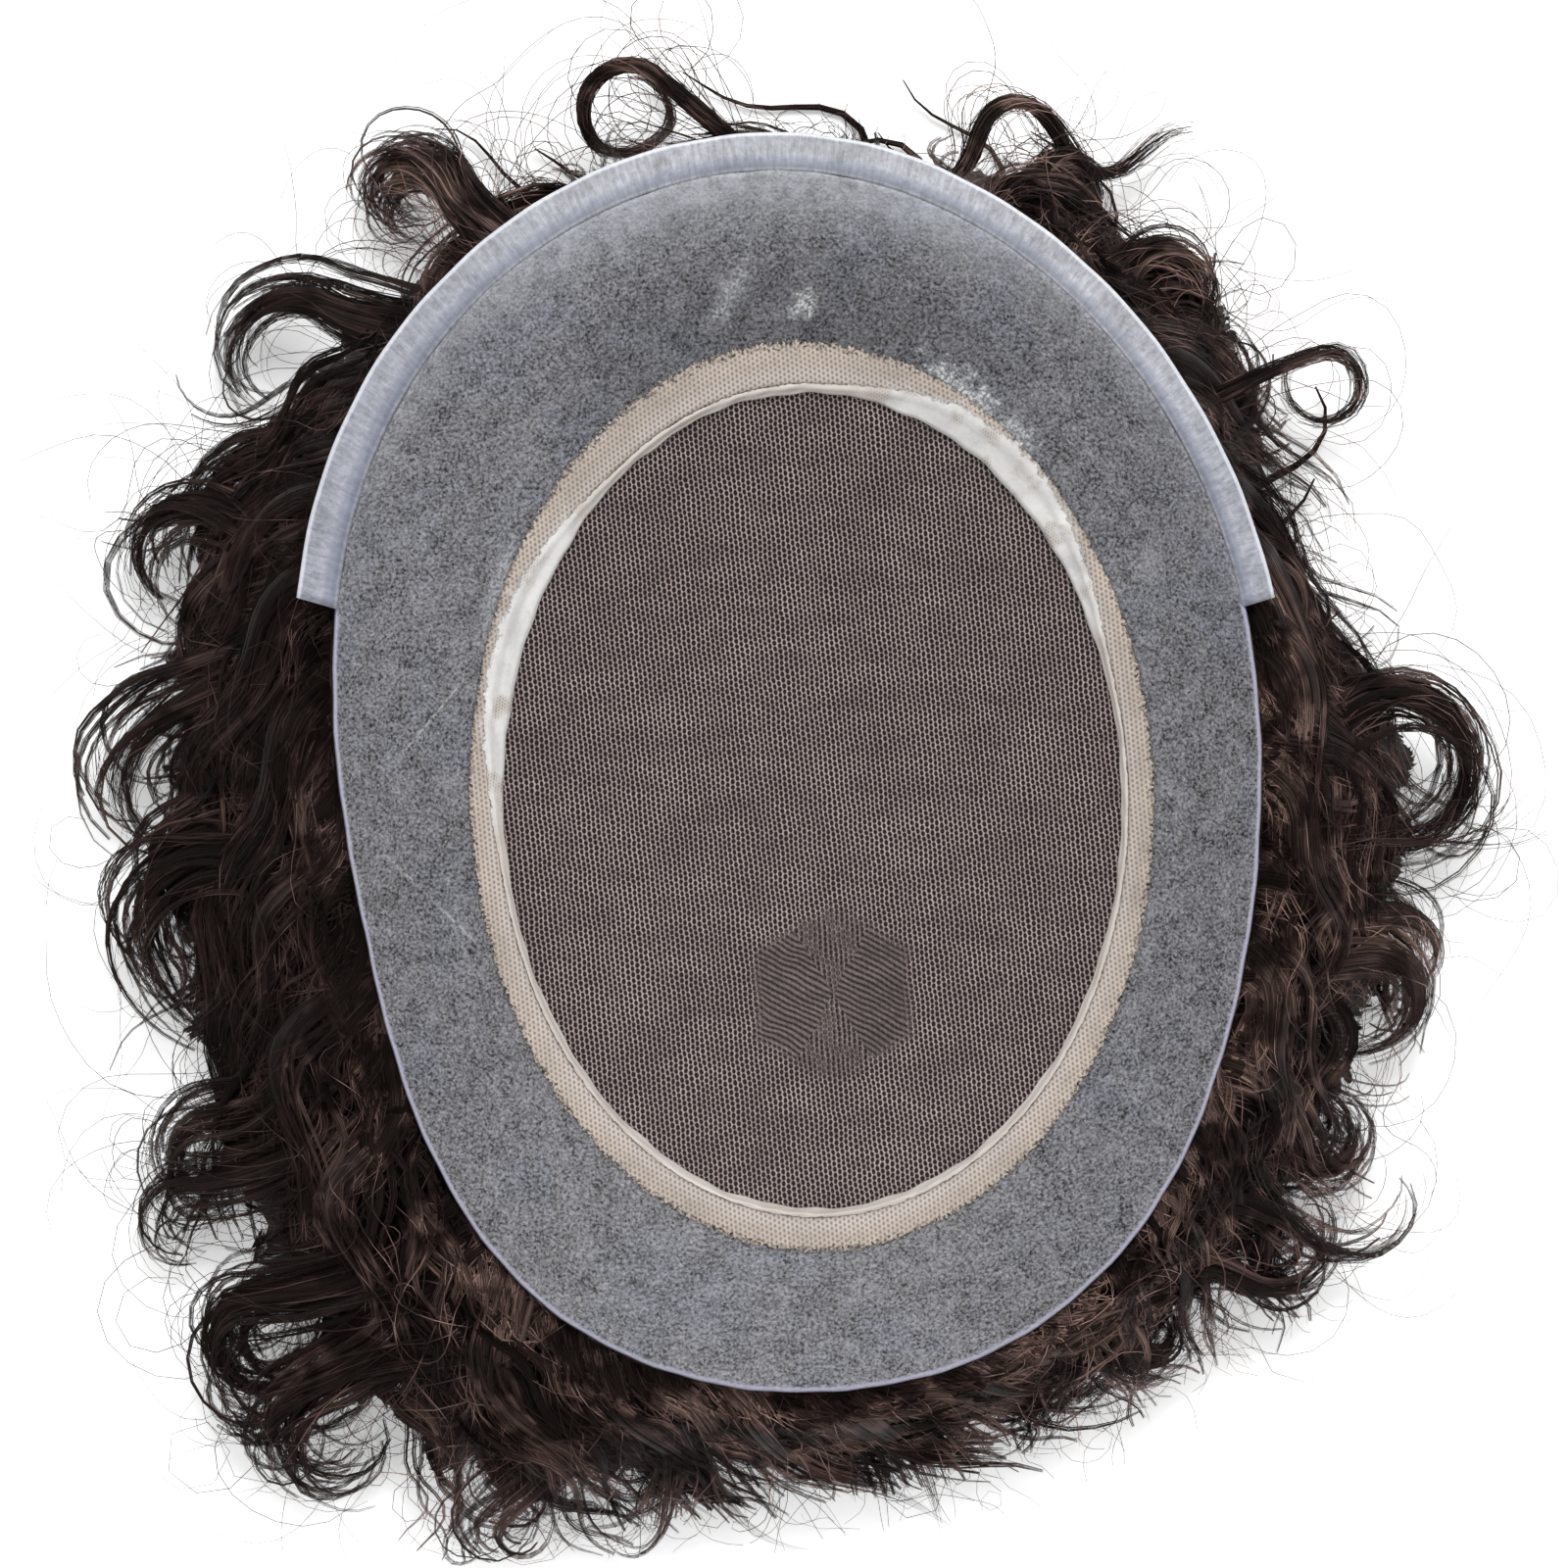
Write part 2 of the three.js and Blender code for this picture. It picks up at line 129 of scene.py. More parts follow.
# Locks of hair: angle where it leaves the rim, root as a share of the rim, length, lean, sway, waves,
# phase, curl, share where the curl starts, half width, and how tightly its hairs keep together.
# Lengths and half widths are in millimetres, angles in degrees.
LOCK_COLUMNS = (
    "angle", "root", "length", "lean", "sway", "waves", "phase", "curl", "start", "width", "tight")
LOCKS = np.array([
    (88, 1.04, 20, -70, 40, 1.5, 0, 60, 0.30, 1.4, 0.3),
    (92.5, 1.03, 83, 43, 0, 0.0, 0, 385, 0.31, 1.6, 1.4),
    (112, 1.04, 52, 36, 20, 1.2, 0, 170, 0.15, 2.2, 0.7),
    (122, 1.00, 62, -20, 30, 1.2, 0, 250, 0.40, 2.8, 0.7),
    (132, 0.98, 74, 5, 20, 1.0, 0, 210, 0.45, 7.0, 0.7),
    (146, 0.98, 66, 10, 15, 1.0, 0, 210, 0.40, 8.5, 0.65),
    (152, 0.98, 80, 10, 35, 1.0, 90, 160, 0.38, 7.0, 0.8),
    (164, 0.98, 84, 5, 30, 1.2, 0, 180, 0.30, 6.5, 0.6),
    (176, 0.97, 80, 35, 30, 1.5, 90, 180, 0.50, 7.0, 0.7),
    (184, 0.98, 80, -4, 0, 0.0, 0, 200, 0.45, 0.8, 1.4),
    (188, 0.97, 82, 8, 35, 1.2, 180, 180, 0.55, 6.0, 0.6),
    (199, 0.97, 84, 12, 25, 1.2, 0, 210, 0.55, 7.0, 0.7),
    (212, 0.97, 84, -14, 15, 1.0, 0, 230, 0.62, 5.5, 0.9),
    (222, 0.98, 100, -8, 20, 1.0, 90, 270, 0.50, 6.0, 0.7),
    (229, 0.98, 96, -16, 20, 1.0, 0, 260, 0.55, 5.0, 0.6),
    (235, 0.98, 100, -20, 20, 1.5, 90, -230, 0.65, 5.0, 0.6),
    (241, 0.98, 92, 6, 20, 1.5, 0, 240, 0.60, 6.0, 0.6),
    (249, 0.98, 70, 30, 20, 1.5, 0, -190, 0.60, 7.0, 0.6),
    (263, 0.99, 62, 60, 14, 1.2, 0, -60, 0.60, 7.0, 0.6),
    (275, 0.99, 34, -60, 20, 1.0, 90, 130, 0.50, 7.0, 0.6),
    (286, 0.99, 56, 50, 25, 1.0, 0, 150, 0.50, 6.0, 0.8),
    (296, 0.98, 58, 30, 30, 1.0, 90, 210, 0.50, 6.0, 0.8),
    (309, 0.98, 66, 5, 30, 1.0, 0, 240, 0.50, 6.5, 0.8),
    (320, 0.98, 70, -12, 24, 1.0, 0, 170, 0.50, 4.0, 0.8),
    (330, 0.98, 66, -14, 35, 1.0, 90, 240, 0.50, 6.5, 0.8),
    (340, 0.98, 78, 5, 20, 1.0, 0, -230, 0.40, 5.0, 0.9),
    (350, 0.98, 62, 10, 30, 1.0, 180, -240, 0.50, 6.5, 0.8),
    (354, 0.98, 104, -8, 12, 1.0, 0, 125, 0.45, 0.9, 1.4),
    (359, 0.98, 106, 28, 10, 0.5, 0, -300, 0.24, 4.0, 0.9),
    (5, 0.98, 46, -30, 15, 1.0, 0, -20, 0.50, 7.0, 0.7),
    (15, 0.98, 62, -70, 40, 1.0, 90, 60, 0.60, 9.0, 0.7),
    (27, 0.98, 58, -66, 20, 1.0, 90, -30, 0.50, 10.0, 0.7),
    (31, 0.98, 50, -10, 30, 1.0, 0, 260, 0.35, 3.0, 0.8),
    (37, 0.98, 84, -20, 15, 1.0, 0, -360, 0.45, 1.7, 1.3),
    (41, 0.98, 62, 8, 30, 1.2, 0, -330, 0.30, 2.6, 0.8),
    (46, 0.99, 78, 22, 10, 1.0, 0, -400, 0.20, 3.0, 0.9),
    (51, 0.99, 60, -18, 25, 1.0, 90, -300, 0.35, 2.4, 0.8),
    (55, 1.00, 58, 20, 30, 1.1, 0, -260, 0.35, 2.4, 0.9),
    (64, 1.02, 56, -25, 40, 1.4, 90, -300, 0.35, 1.5, 0.9),
    (71, 1.05, 68, -60, 64, 1.4, 3, -60, 0.75, 1.2, 1.3),
    (80, 1.05, 34, 84, 14, 1.5, 0, 20, 0.40, 1.8, 0.6),
])

# Long sweeps that lie over the locks and run along the rim towards the back, in the same columns
SWEEPS = np.array([
    (138, 0.97, 84, 58, 20, 2.0, 0, 60, 0.35, 6.0, 0.8),
    (150, 0.98, 92, 66, 24, 2.4, 90, 50, 0.35, 6.5, 0.8),
    (163, 0.98, 92, 72, 20, 2.2, 180, 40, 0.40, 7.0, 0.8),
    (176, 0.985, 80, 64, 26, 2.2, 0, 40, 0.45, 6.0, 0.7),
    (190, 0.985, 76, 54, 26, 1.8, 60, 60, 0.40, 6.0, 0.7),
    (203, 0.985, 76, 52, 28, 2.0, 0, 60, 0.40, 6.0, 0.7),
    (218, 0.985, 84, 64, 20, 1.8, 0, 55, 0.40, 6.5, 0.8),
    (232, 0.985, 86, 72, 16, 2.0, 90, 40, 0.40, 6.5, 0.8),
    (246, 0.985, 80, 76, 14, 1.8, 0, 25, 0.40, 6.0, 0.8),
    (260, 0.985, 62, 72, 16, 1.6, 0, 20, 0.40, 5.5, 0.8),
    (276, 0.985, 50, 66, 20, 1.4, 0, 40, 0.40, 5.0, 0.7),
    (408, 0.98, 66, -62, 24, 1.6, 0, -50, 0.35, 5.5, 0.7),
    (394, 0.98, 74, -68, 22, 1.8, 0, -50, 0.35, 6.5, 0.8),
    (380, 0.985, 78, -70, 26, 2.0, 90, -40, 0.35, 6.5, 0.8),
    (364, 0.985, 64, -64, 28, 2.0, 0, -60, 0.35, 6.0, 0.7),
    (346, 0.985, 58, -56, 28, 1.8, 0, -70, 0.40, 6.0, 0.7),
    (326, 0.985, 50, -44, 28, 1.6, 0, 100, 0.40, 5.0, 0.7),
])

# Locks made at random in each quarter, between the listed ones
FILLERS = 52

# Where loose hair stands out at the front, flows to the right, and hardly curls
FRONT_HAIR = (62, 127)
RIGHTWARD_HAIR = (214, 300)
BACK_HAIR = (236, 330)

# How open the cores of the locks and the wisps are at root and tip, and the breadth of wisp for which
# the streaks' pattern is one unit wide
CORE_OPENING = (0.2, 0.62)
WISP_OPENING = (0.40, 0.50)
WISP_STREAK = 0.0005

# How far the listed locks may go, as a share of the reach
LIMITS = {"hair_front": 2.4, "hair_left": 1.35, "hair_back": 1.2, "hair_right": 2.1}

# Hairs sorted by how much they bend, in degrees over their whole length, with their stations
BENDS = (("soft", 0, 12), ("waved", 270, 18), ("curled", 430, 26))

# The four quarters of the hair, named as their CAD nodes are, each from one angle to the next
QUARTERS = {
    "hair_front": (50, 127),
    "hair_left": (127, 216),
    "hair_back": (216, 301),
    "hair_right": (301, 410),
}


def metres(name, description, default):
    """A length of a piece, in metres."""
    return FloatProperty(name=name, description=description, default=default, unit="LENGTH")


def paint(name, description, default):
    """The colour of a surface."""
    return FloatVectorProperty(name=name, description=description, default=default, subtype="COLOR")


class BaseSizes(bpy.types.PropertyGroup):
    """Sizes of the cup-shaped base"""

    half_width: metres("Half width", "Middle of the base to the side of the rim", 0.0893)
    half_length: metres("Half length", "Middle of the base to the front of the rim", 0.1176)
    cup_depth: metres("Cup depth", "Height of the rim over the middle of the net", 0.030)
    cup_power: FloatProperty(
        name="Cup power", description="How late the cup turns up towards the rim", default=2.2)
    seat: metres("Seat", "Height of the middle of the net over the table", 0.0153)
    rim_wave: metres("Rim wave", "Rise and fall of the rim", 0.0012)
    rim_swell: metres("Rim swell", "How far the rim stands out past a plain ellipse on average", 0.0016)
    net_shift: FloatVectorProperty(
        name="Net shift", description="Middle of the net from the middle of the base",
        default=NET_SHIFT, size=2, unit="LENGTH")
    sheet: metres("Sheet", "Thickness of net, skin and binding", 0.0008)
    lift: metres("Lift", "Top of the binding over the sheets below it", 0.0013)
    lip_width: metres("Lip width", "Width of the clear lip at the left and front", 0.0076)
    lip_right_width: metres("Lip width at the right", "Width of the clear lip at the right", 0.0058)


class HairSizes(bpy.types.PropertyGroup):
    """Sizes and numbers of the hair"""

    reach: metres("Reach", "Longest reach of the hair past the rim", 0.060)
    bed_share: FloatProperty(
        name="Body share", description="How much of the reach the dense body of hair fills",
        default=0.72, subtype="FACTOR")
    strand_width: metres("Strand width", "Width of one hair", 0.0002)
    strands: IntProperty(name="Strands", description="Hairs in one quarter", default=480)
    flyaways: IntProperty(name="Flyaways", description="Loose hairs in one quarter", default=285)
    wisps: IntProperty(name="Wisps", description="Flat bundles of hair in one quarter", default=705)
    under_wisps: IntProperty(
        name="Underside wisps", description="Flat bundles of hair under the crown", default=200)


class Finishes(bpy.types.PropertyGroup):
    """Colours of the pieces"""

    thread: paint("Net thread", "Thread of the net", (0.335, 0.27, 0.255))
    hole: paint("Net hole", "Dark of the hair seen through the net", (0.006, 0.003, 0.003))
    skin: paint("Skin", "Film over knotted hair", (0.130, 0.130, 0.145))
    lip: paint("Lip", "Frosted clear film", (0.42, 0.43, 0.465))
    binding: paint("Binding", "Net tape over the joint", (0.41, 0.355, 0.31))
    coat: paint("Seam coat", "Cured coating", (0.58, 0.57, 0.555))
    hair_dark: paint("Hair, dark", "Darkest hair", (0.0008, 0.0006, 0.0006))
    hair_brown: paint("Hair, brown", "Lightest hair", (0.340, 0.215, 0.185))


def sizes():
    """The base's sizes in the scene."""
    return bpy.context.scene.toupee_base


def hair_sizes():
    """The hair's sizes in the scene."""
    return bpy.context.scene.toupee_hair


def finishes():
    """The pieces' colours in the scene."""
    return bpy.context.scene.toupee_finishes


def smoothstep(value, low, high):
    """Zero below low, one above high, and 3x^2 - 2x^3 between."""
    x = np.clip((value - low) / (high - low), 0, 1)
    return x * x * (3 - 2 * x)


def rim_swell(turn):
    """How far the rim stands out past a plain ellipse: a sum of cosines round it."""
    total = 1.0
    for waves, share, start in RIM_SWELLS:
        total = total + share * np.cos(waves * turn - math.radians(start))
    return sizes().rim_swell * total


def cup(turn, share, out=0.0):
    """Point on the top face of the base: an ellipse of the given share, or out past the rim, whose
    middle moves from the net's to the base's between binding and rim while its outline swells, at the
    height seat + depth * level^power + wave * sin(3 turn) * level^3."""
    size = sizes()
    inner = 1 - smoothstep(share, BINDING_OUTER, 1.0)
    swell = out + rim_swell(turn) * (1 - inner)
    level = share + out / ((size.half_width + size.half_length) / 2)
    wave = size.rim_wave * np.sin(3 * turn) * level ** 3
    return np.stack([
        CENTRE[0] + size.net_shift[0] * inner + (size.half_width * share + swell) * np.cos(turn),
        CENTRE[1] + size.net_shift[1] * inner + (size.half_length * share + swell) * np.sin(turn),
        size.seat + size.cup_depth * level ** size.cup_power + wave,
    ], axis=-1)


def sheet_face(turn, share, out, drop):
    """The cup moved down by drop along its own normal, which is the cross product of the step round
    and the step outwards."""
    turn, share, out, drop = np.broadcast_arrays(turn, share, out, drop)
    share = np.maximum(share, 1e-3)
    across = cup(turn, share, out + 2e-4) - cup(turn, share, out - 2e-4)
    around = cup(turn + 2e-3, share, out) - cup(turn - 2e-3, share, out)
    normal = np.cross(across, around)
    normal /= np.linalg.norm(normal, axis=-1, keepdims=True)
    return cup(turn, share, out) - normal * drop[..., None]


def new_object(name, points, loops, counts, smooth=True):
    """A mesh object from vertex places, corner list and corners per face."""
    mesh = bpy.data.meshes.new(name)
    mesh.vertices.add(len(points))
    mesh.vertices.foreach_set("co", np.ascontiguousarray(points, dtype=np.float32).ravel())
    mesh.loops.add(len(loops))
    mesh.loops.foreach_set("vertex_index", np.ascontiguousarray(loops, dtype=np.int32))
    mesh.polygons.add(len(counts))
    starts = np.concatenate([[0], np.cumsum(counts)[:-1]]).astype(np.int32)
    mesh.polygons.foreach_set("loop_start", starts)
    mesh.polygons.foreach_set("use_smooth", np.full(len(counts), smooth))
    mesh.update(calc_edges=True)
    piece = bpy.data.objects.new(name, mesh)
    bpy.context.collection.objects.link(piece)
    return piece


def point_value(piece, name, values):
    """Stores one number per vertex for the piece's material."""
    layer = piece.data.attributes.new(name, "FLOAT", "POINT")
    layer.data.foreach_set("value", np.ascontiguousarray(values, dtype=np.float32).ravel())


def tube_grid(rings, closed_round, closed_along):
    """Corner lists that join a grid of sections, rings x points, into quads."""
    count, points = rings
    row = np.arange(count if closed_along else count - 1)
    column = np.arange(points if closed_round else points - 1)
    i, j = np.meshgrid(row, column, indexing="ij")
    after, beside = (i + 1) % count, (j + 1) % points
    here, there = i * points, after * points
    quads = np.stack([here + j, there + j, there + beside, here + beside], -1)
    return quads.reshape(-1, 4)


def wall_ring(name, turns, top, bottom):
    """A closed ring: at each turn a section that runs out along the top face and back underneath."""
    section = np.concatenate([top, bottom[:, ::-1]], axis=1)
    count, points = section.shape[:2]
    quads = tube_grid((count, points), True, True)[:, ::-1]
    return new_object(name, section.reshape(-1, 3), quads.ravel(), np.full(len(quads), 4))


def wall_strip(name, top, bottom):
    """An open strip: the same section as a ring's, with a flat face at each end."""
    section = np.concatenate([top, bottom[:, ::-1]], axis=1)
    count, points = section.shape[:2]
    quads = tube_grid((count, points), True, False)[:, ::-1]
    first = np.arange(points)[::-1]
    last = (count - 1) * points + np.arange(points)
    loops = np.concatenate([quads.ravel(), first, last])
    counts = np.concatenate([np.full(len(quads), 4), [points, points]])
    return new_object(name, section.reshape(-1, 3), loops, counts)


def dished_disc(name, turns, shares, thickness):
    """A disc between two faces of the cup: rings from the middle of the top out to the edge and back
    to the middle underneath, with one point at each middle."""
    grid = np.meshgrid(turns, shares, indexing="ij")
    top = sheet_face(grid[0], grid[1], 0.0, 0.0)
    bottom = sheet_face(grid[0], grid[1], 0.0, thickness)
    section = np.concatenate([top, bottom[:, ::-1]], axis=1)
    count, points = section.shape[:2]
    quads = tube_grid((count, points), False, True)[:, ::-1]
    middle = cup(np.zeros(1), np.zeros(1))
    under = middle - np.array([[0, 0, thickness]])
    places = np.concatenate([section.reshape(-1, 3), middle, under])
    ring = np.arange(count)
    beside = (ring + 1) % count
    upper = np.stack([np.full(count, count * points), ring * points, beside * points], -1)
    last = points - 1
    lower = np.stack([
        np.full(count, count * points + 1), beside * points + last, ring * points + last], -1)
    loops = np.concatenate([quads.ravel(), upper.ravel(), lower.ravel()])
    counts = np.concatenate([np.full(len(quads), 4), np.full(2 * count, 3)])
    return new_object(name, places, loops, counts)


def rim_step(turn):
    """Outward direction of the rim's ellipse in plan, and its heading in radians."""
    size = sizes()
    out = np.stack([np.cos(turn) / size.half_width, np.sin(turn) / size.half_length], -1)
    out /= np.linalg.norm(out, axis=-1, keepdims=True)
    return out, np.arctan2(out[..., 1], out[..., 0])


def hair_reach(turn):
    """Reach past the rim at a turn, eased from one listed share to the next."""
    place = np.mod(turn / TURN, 1.0) * len(REACH_SHARES)
    first = np.floor(place).astype(int) % len(REACH_SHARES)
    mix = smoothstep(place - np.floor(place), 0.0, 1.0)
    after = REACH_SHARES[(first + 1) % len(REACH_SHARES)]
    return hair_sizes().reach * (REACH_SHARES[first] * (1 - mix) + after * mix)


def place_in_base(x, y):
    """Turn round the base, level (1 at the rim's ellipse) and distance out past it, of a plan point."""
    size = sizes()
    dx, dy = x - CENTRE[0], y - CENTRE[1]
    turn = np.arctan2(dy / size.half_length, dx / size.half_width)
    rim = np.hypot(size.half_width * np.cos(turn), size.half_length * np.sin(turn)) + rim_swell(turn)
    distance = np.hypot(dx, dy)
    return turn, distance / rim, distance - rim


def bed_height(x, y):
    """Height of the dense body of hair: the profile over its share of the reach, times the rim's
    height, and the cup's underside inside the rim."""
    size = sizes()
    turn, level, out = place_in_base(x, y)
    rim = size.seat + size.cup_depth
    share = out / (hair_reach(turn) * hair_sizes().bed_share - rim_swell(turn))
    outside = rim * np.interp(share, BED_PROFILE[:, 0], BED_PROFILE[:, 1])
    inside = size.seat + size.cup_depth * np.minimum(level, 1.0) ** size.cup_power - 0.002
    return np.where(level < 1.0, inside, outside)


def under_base(x, y, z, room):
    """Heights kept at least room below the base, the lip included."""
    size = sizes()
    turn, level, out = place_in_base(x, y)
    degrees = np.mod(np.degrees(turn), 360)
    lip = np.where((degrees > 12) & (degrees < 166), size.lip_width, 0.0)
    mean = (size.half_width + size.half_length) / 2
    height = np.where(level < 1.0, level, 1.0 + np.clip(out, 0, lip) / mean)
    ceiling = size.seat + size.cup_depth * height ** size.cup_power - size.rim_wave - room
    return np.minimum(z, ceiling + 0.004 * smoothstep(out - lip, 0.002, 0.012))


def lock_paths(lock, stations):
    """Paths of hairs or wisps, one per row of the dict of arrays: from the root on the rim, heading =
    outwards + lean + sway * sin(waves) + curl * (part of the length past start) + frizz, added up step
    by step, with an offset to the side that narrows to the tip. A hair ends where its cut share of the
    lock ends. Height falls from top to low."""
    size = sizes()
    turn = np.radians(lock["angle"])
    _, outward = rim_step(turn)
    along = np.linspace(0, 1, stations)[None, :] * lock["cut"][:, None]
    late = np.maximum(0, (along - lock["start"][:, None]) / (1 - lock["start"][:, None]))
    wave = np.sin(TURN * lock["waves"][:, None] * along + np.radians(lock["phase"])[:, None])
    frizz = np.sin(TURN * lock["frizz_waves"][:, None] * along + lock["frizz_phase"][:, None])
    heading = outward[:, None] + np.radians(
        lock["lean"][:, None] + lock["sway"][:, None] * wave + lock["curl"][:, None] * late
        + lock["frizz"][:, None] * frizz * along ** 0.5)
    step = (lock["length"] * lock["cut"])[:, None] / (stations - 1)
    x = np.cumsum(np.cos(heading) * step, axis=1)
    y = np.cumsum(np.sin(heading) * step, axis=1)
    x = CENTRE[0] + size.half_width * np.cos(turn)[:, None] * lock["root"][:, None] + x
    y = CENTRE[1] + size.half_length * np.sin(turn)[:, None] * lock["root"][:, None] + y
    side = lock["side"][:, None] * (1 - lock["narrowing"][:, None] * along)
    x = x - np.sin(heading) * side
    y = y + np.cos(heading) * side
    fall = (along + smoothstep(along, 0.0, 1.0)) / 2
    z = lock["top"][:, None] * (1 - fall) + lock["low"][:, None] * fall
    z = np.maximum(z, bed_height(x, y) + lock["over"][:, None])
    z = z + lock["height"][:, None] * (1 - lock["narrowing"][:, None] * along)
    z = under_base(x, y, z, 0.0014 + lock["radius"][:, None])
    z = np.maximum(z, lock["radius"][:, None] + 0.0002)
    return np.stack([x, y, z], axis=-1)


def near_paths(lock, stations, spare=0.011):
    """Paths as above, with the length of each hair cut where it would go too far past the CAD's box, or
    past its limit as a share of the reach."""
    for _ in range(2):
        paths = lock_paths(lock, stations)
        low = np.array(CAD_BOX[0])[:2] - spare
        high = np.array(CAD_BOX[1])[:2] + spare
        turn, _, out = place_in_base(paths[..., 0], paths[..., 1])
        past = ((paths[..., :2] < low) | (paths[..., :2] > high)).any(axis=-1)
        past |= out > hair_reach(turn) * lock["limit"][:, None]
        first = np.where(past.any(axis=1), past.argmax(axis=1), stations)
        lock["length"] = lock["length"] * np.clip(first / stations, 0.3, 1.0)
    return lock_paths(lock, stations)


def tubes(name, paths, radii, sides, flat=1.0):
    """Closed tubes along paths (hairs x stations x 3): at each station a ring of points in the plane
    square to the path, radius across and radius * flat in height, with both ends capped. Points are
    kept under the base and over the table."""
    count, stations = paths.shape[:2]
    along = np.gradient(paths, axis=1)
    along /= np.maximum(np.linalg.norm(along, axis=-1, keepdims=True), 1e-9)
    across = np.stack([along[..., 1], -along[..., 0], np.zeros_like(along[..., 0])], -1)
    across /= np.maximum(np.linalg.norm(across, axis=-1, keepdims=True), 1e-9)
    upward = np.cross(across, along)
    angle = TURN * (np.arange(sides) + 0.5) / sides
    ring = (np.cos(angle)[:, None] * across[:, :, None, :]
            + flat * np.sin(angle)[:, None] * upward[:, :, None, :])
    places = paths[:, :, None, :] + radii[:, :, None, None] * ring
    places[..., 2] = under_base(places[..., 0], places[..., 1], places[..., 2], 0.0012)
    places[..., 2] = np.maximum(places[..., 2], 0.0002)
    one = tube_grid((stations, sides), True, False)
    base = np.arange(count)[:, None] * stations * sides
    quads = base[:, :, None] + one[None]
    first = base + np.arange(sides)[None]
    last = base + (stations - 1) * sides + np.arange(sides)[::-1][None]
    loops = np.concatenate([quads.ravel(), first.ravel(), last.ravel()])
    counts = np.concatenate([np.full(count * len(one), 4), np.full(2 * count, sides)])
    return new_object(name, places.reshape(-1, 3), loops, counts)


def quarter_rows(quarter):
    """Listed locks and sweeps whose roots lie in a quarter, with their angles inside it."""
    low, high = QUARTERS[quarter]
    rows = np.concatenate([LOCKS, SWEEPS])
    rows[:, 0] = np.where(rows[:, 0] < low - 1e-6, rows[:, 0] + 360, rows[:, 0])
    return rows[(rows[:, 0] >= low) & (rows[:, 0] < high)]


def within(angle, limits):
    """Whether angles lie between two limits."""
    return (angle > limits[0]) & (angle < limits[1])


def filler_rows(rng, quarter, count):
    """Locks made at random between the listed ones, rooted from under the rim to the edge of the body
    of hair. They run towards the back of the head at the sides and to the right behind the left-hand
    corner, and stand out at the front."""
    low, high = QUARTERS[quarter]
    size = sizes()
    angle = low + (high - low) * (np.arange(count) + rng.uniform(0, 1, count)) / count
    _, outward = rim_step(np.radians(angle))
    back = np.mod(-90 - np.degrees(outward) + 180, 360) - 180
    reach = hair_reach(np.radians(angle))
    out = rng.uniform(-0.05, 0.62, count)
    lean = np.sign(back) * np.clip(np.abs(back), 60, 92) * rng.uniform(0.72, 1.0, count)
    lean = np.where(within(angle, RIGHTWARD_HAIR), rng.uniform(62, 92, count), lean)
    front = within(angle, FRONT_HAIR)
    lean = np.where(front, rng.uniform(-60, 60, count), lean)
    out = np.where(front, -0.05, out)
    turn = np.radians(angle)
    rim = np.hypot(size.half_width * np.cos(turn), size.half_length * np.sin(turn))
    root = 0.985 + reach * out / rim
    behind = within(angle, BACK_HAIR)
    curl = np.where(behind, rng.uniform(-60, 80, count), rng.uniform(-70, 200, count))
    length = np.where(front, reach * 1000 * rng.uniform(0.7, 1.2, count), rng.uniform(38, 82, count))
    return np.stack([
        angle, root, length, lean, rng.uniform(18, 40, count), rng.uniform(1.4, 2.8, count),
        rng.uniform(0, 360, count), -np.sign(lean) * curl,
        rng.uniform(0.45, 0.75, count), rng.uniform(2.2, 5.5, count), rng.uniform(0.75, 1.1, count)], -1)


def lock_values(rng, table, index, spread, inner, outer):
    """Values of each hair of a table of locks, one row per hair: all vary by spread, less where the
    lock is tight, and the hair lies between two shares of the lock's oval section."""
    count = len(table)
    lock = dict(zip(LOCK_COLUMNS, table.T))
    loose = spread * (1.5 - lock["tight"])
    lock["half"] = lock["width"] / 1000
    lock["length"] = lock["length"] / 1000 * (1 + rng.normal(-0.02, 0.07, count) * loose)
    lock["angle"] = lock["angle"] + rng.normal(0, 1.0, count) * loose
    lock["root"] = lock["root"] - rng.uniform(0.0, 0.05, count) * np.clip(2.8 - 2 * lock["tight"], 0, 1)
    lock["lean"] = lock["lean"] + rng.normal(0, 4, count) * loose
    lock["sway"] = lock["sway"] * (1 + rng.normal(0, 0.15, count) * loose)
    lock["phase"] = lock["phase"] + rng.normal(0, 12, count) * loose
    lock["curl"] = lock["curl"] * (1 + rng.normal(0, 0.10, count) * loose)
    lock["start"] = np.clip(lock["start"] + rng.normal(0, 0.025, count) * loose, 0.05, 0.9)
    lock["narrowing"] = 1 - 0.45 * (1.6 - lock["tight"])
    polar = rng.uniform(0, TURN, count)
    part = rng.uniform(inner, outer, count)
    lock["side"] = lock["half"] * part * np.cos(polar)
    lock["height"] = 0.6 * lock["half"] * part * np.sin(polar)
    lock["tint"] = np.clip(rng.beta(1.1, 2.8, count) + 0.08 * (index % 5 - 2), 0, 1)
    lock["level"] = np.where(np.abs(lock["curl"]) < 72, 1.4, (index * 7 % 5) / 4)
    lock["limit"] = np.full(count, 2.2)
    lock["cut"] = np.ones(count)
    return lock


def sorted_by_bend(lock):
    """The hairs in groups, with each group's name and number of stations: the bend is the curl over the
    part it takes, plus that of the sway's waves."""
    bend = np.abs(lock["curl"]) / (1 - lock["start"]) + 3.5 * lock["sway"] * lock["waves"]
    tops = [least for _, least, _ in BENDS[1:]] + [np.inf]
    for (name, least, stations), top in zip(BENDS, tops):
        chosen = (bend >= least) & (bend < top)
        yield name, {key: value[chosen] for key, value in lock.items()}, stations


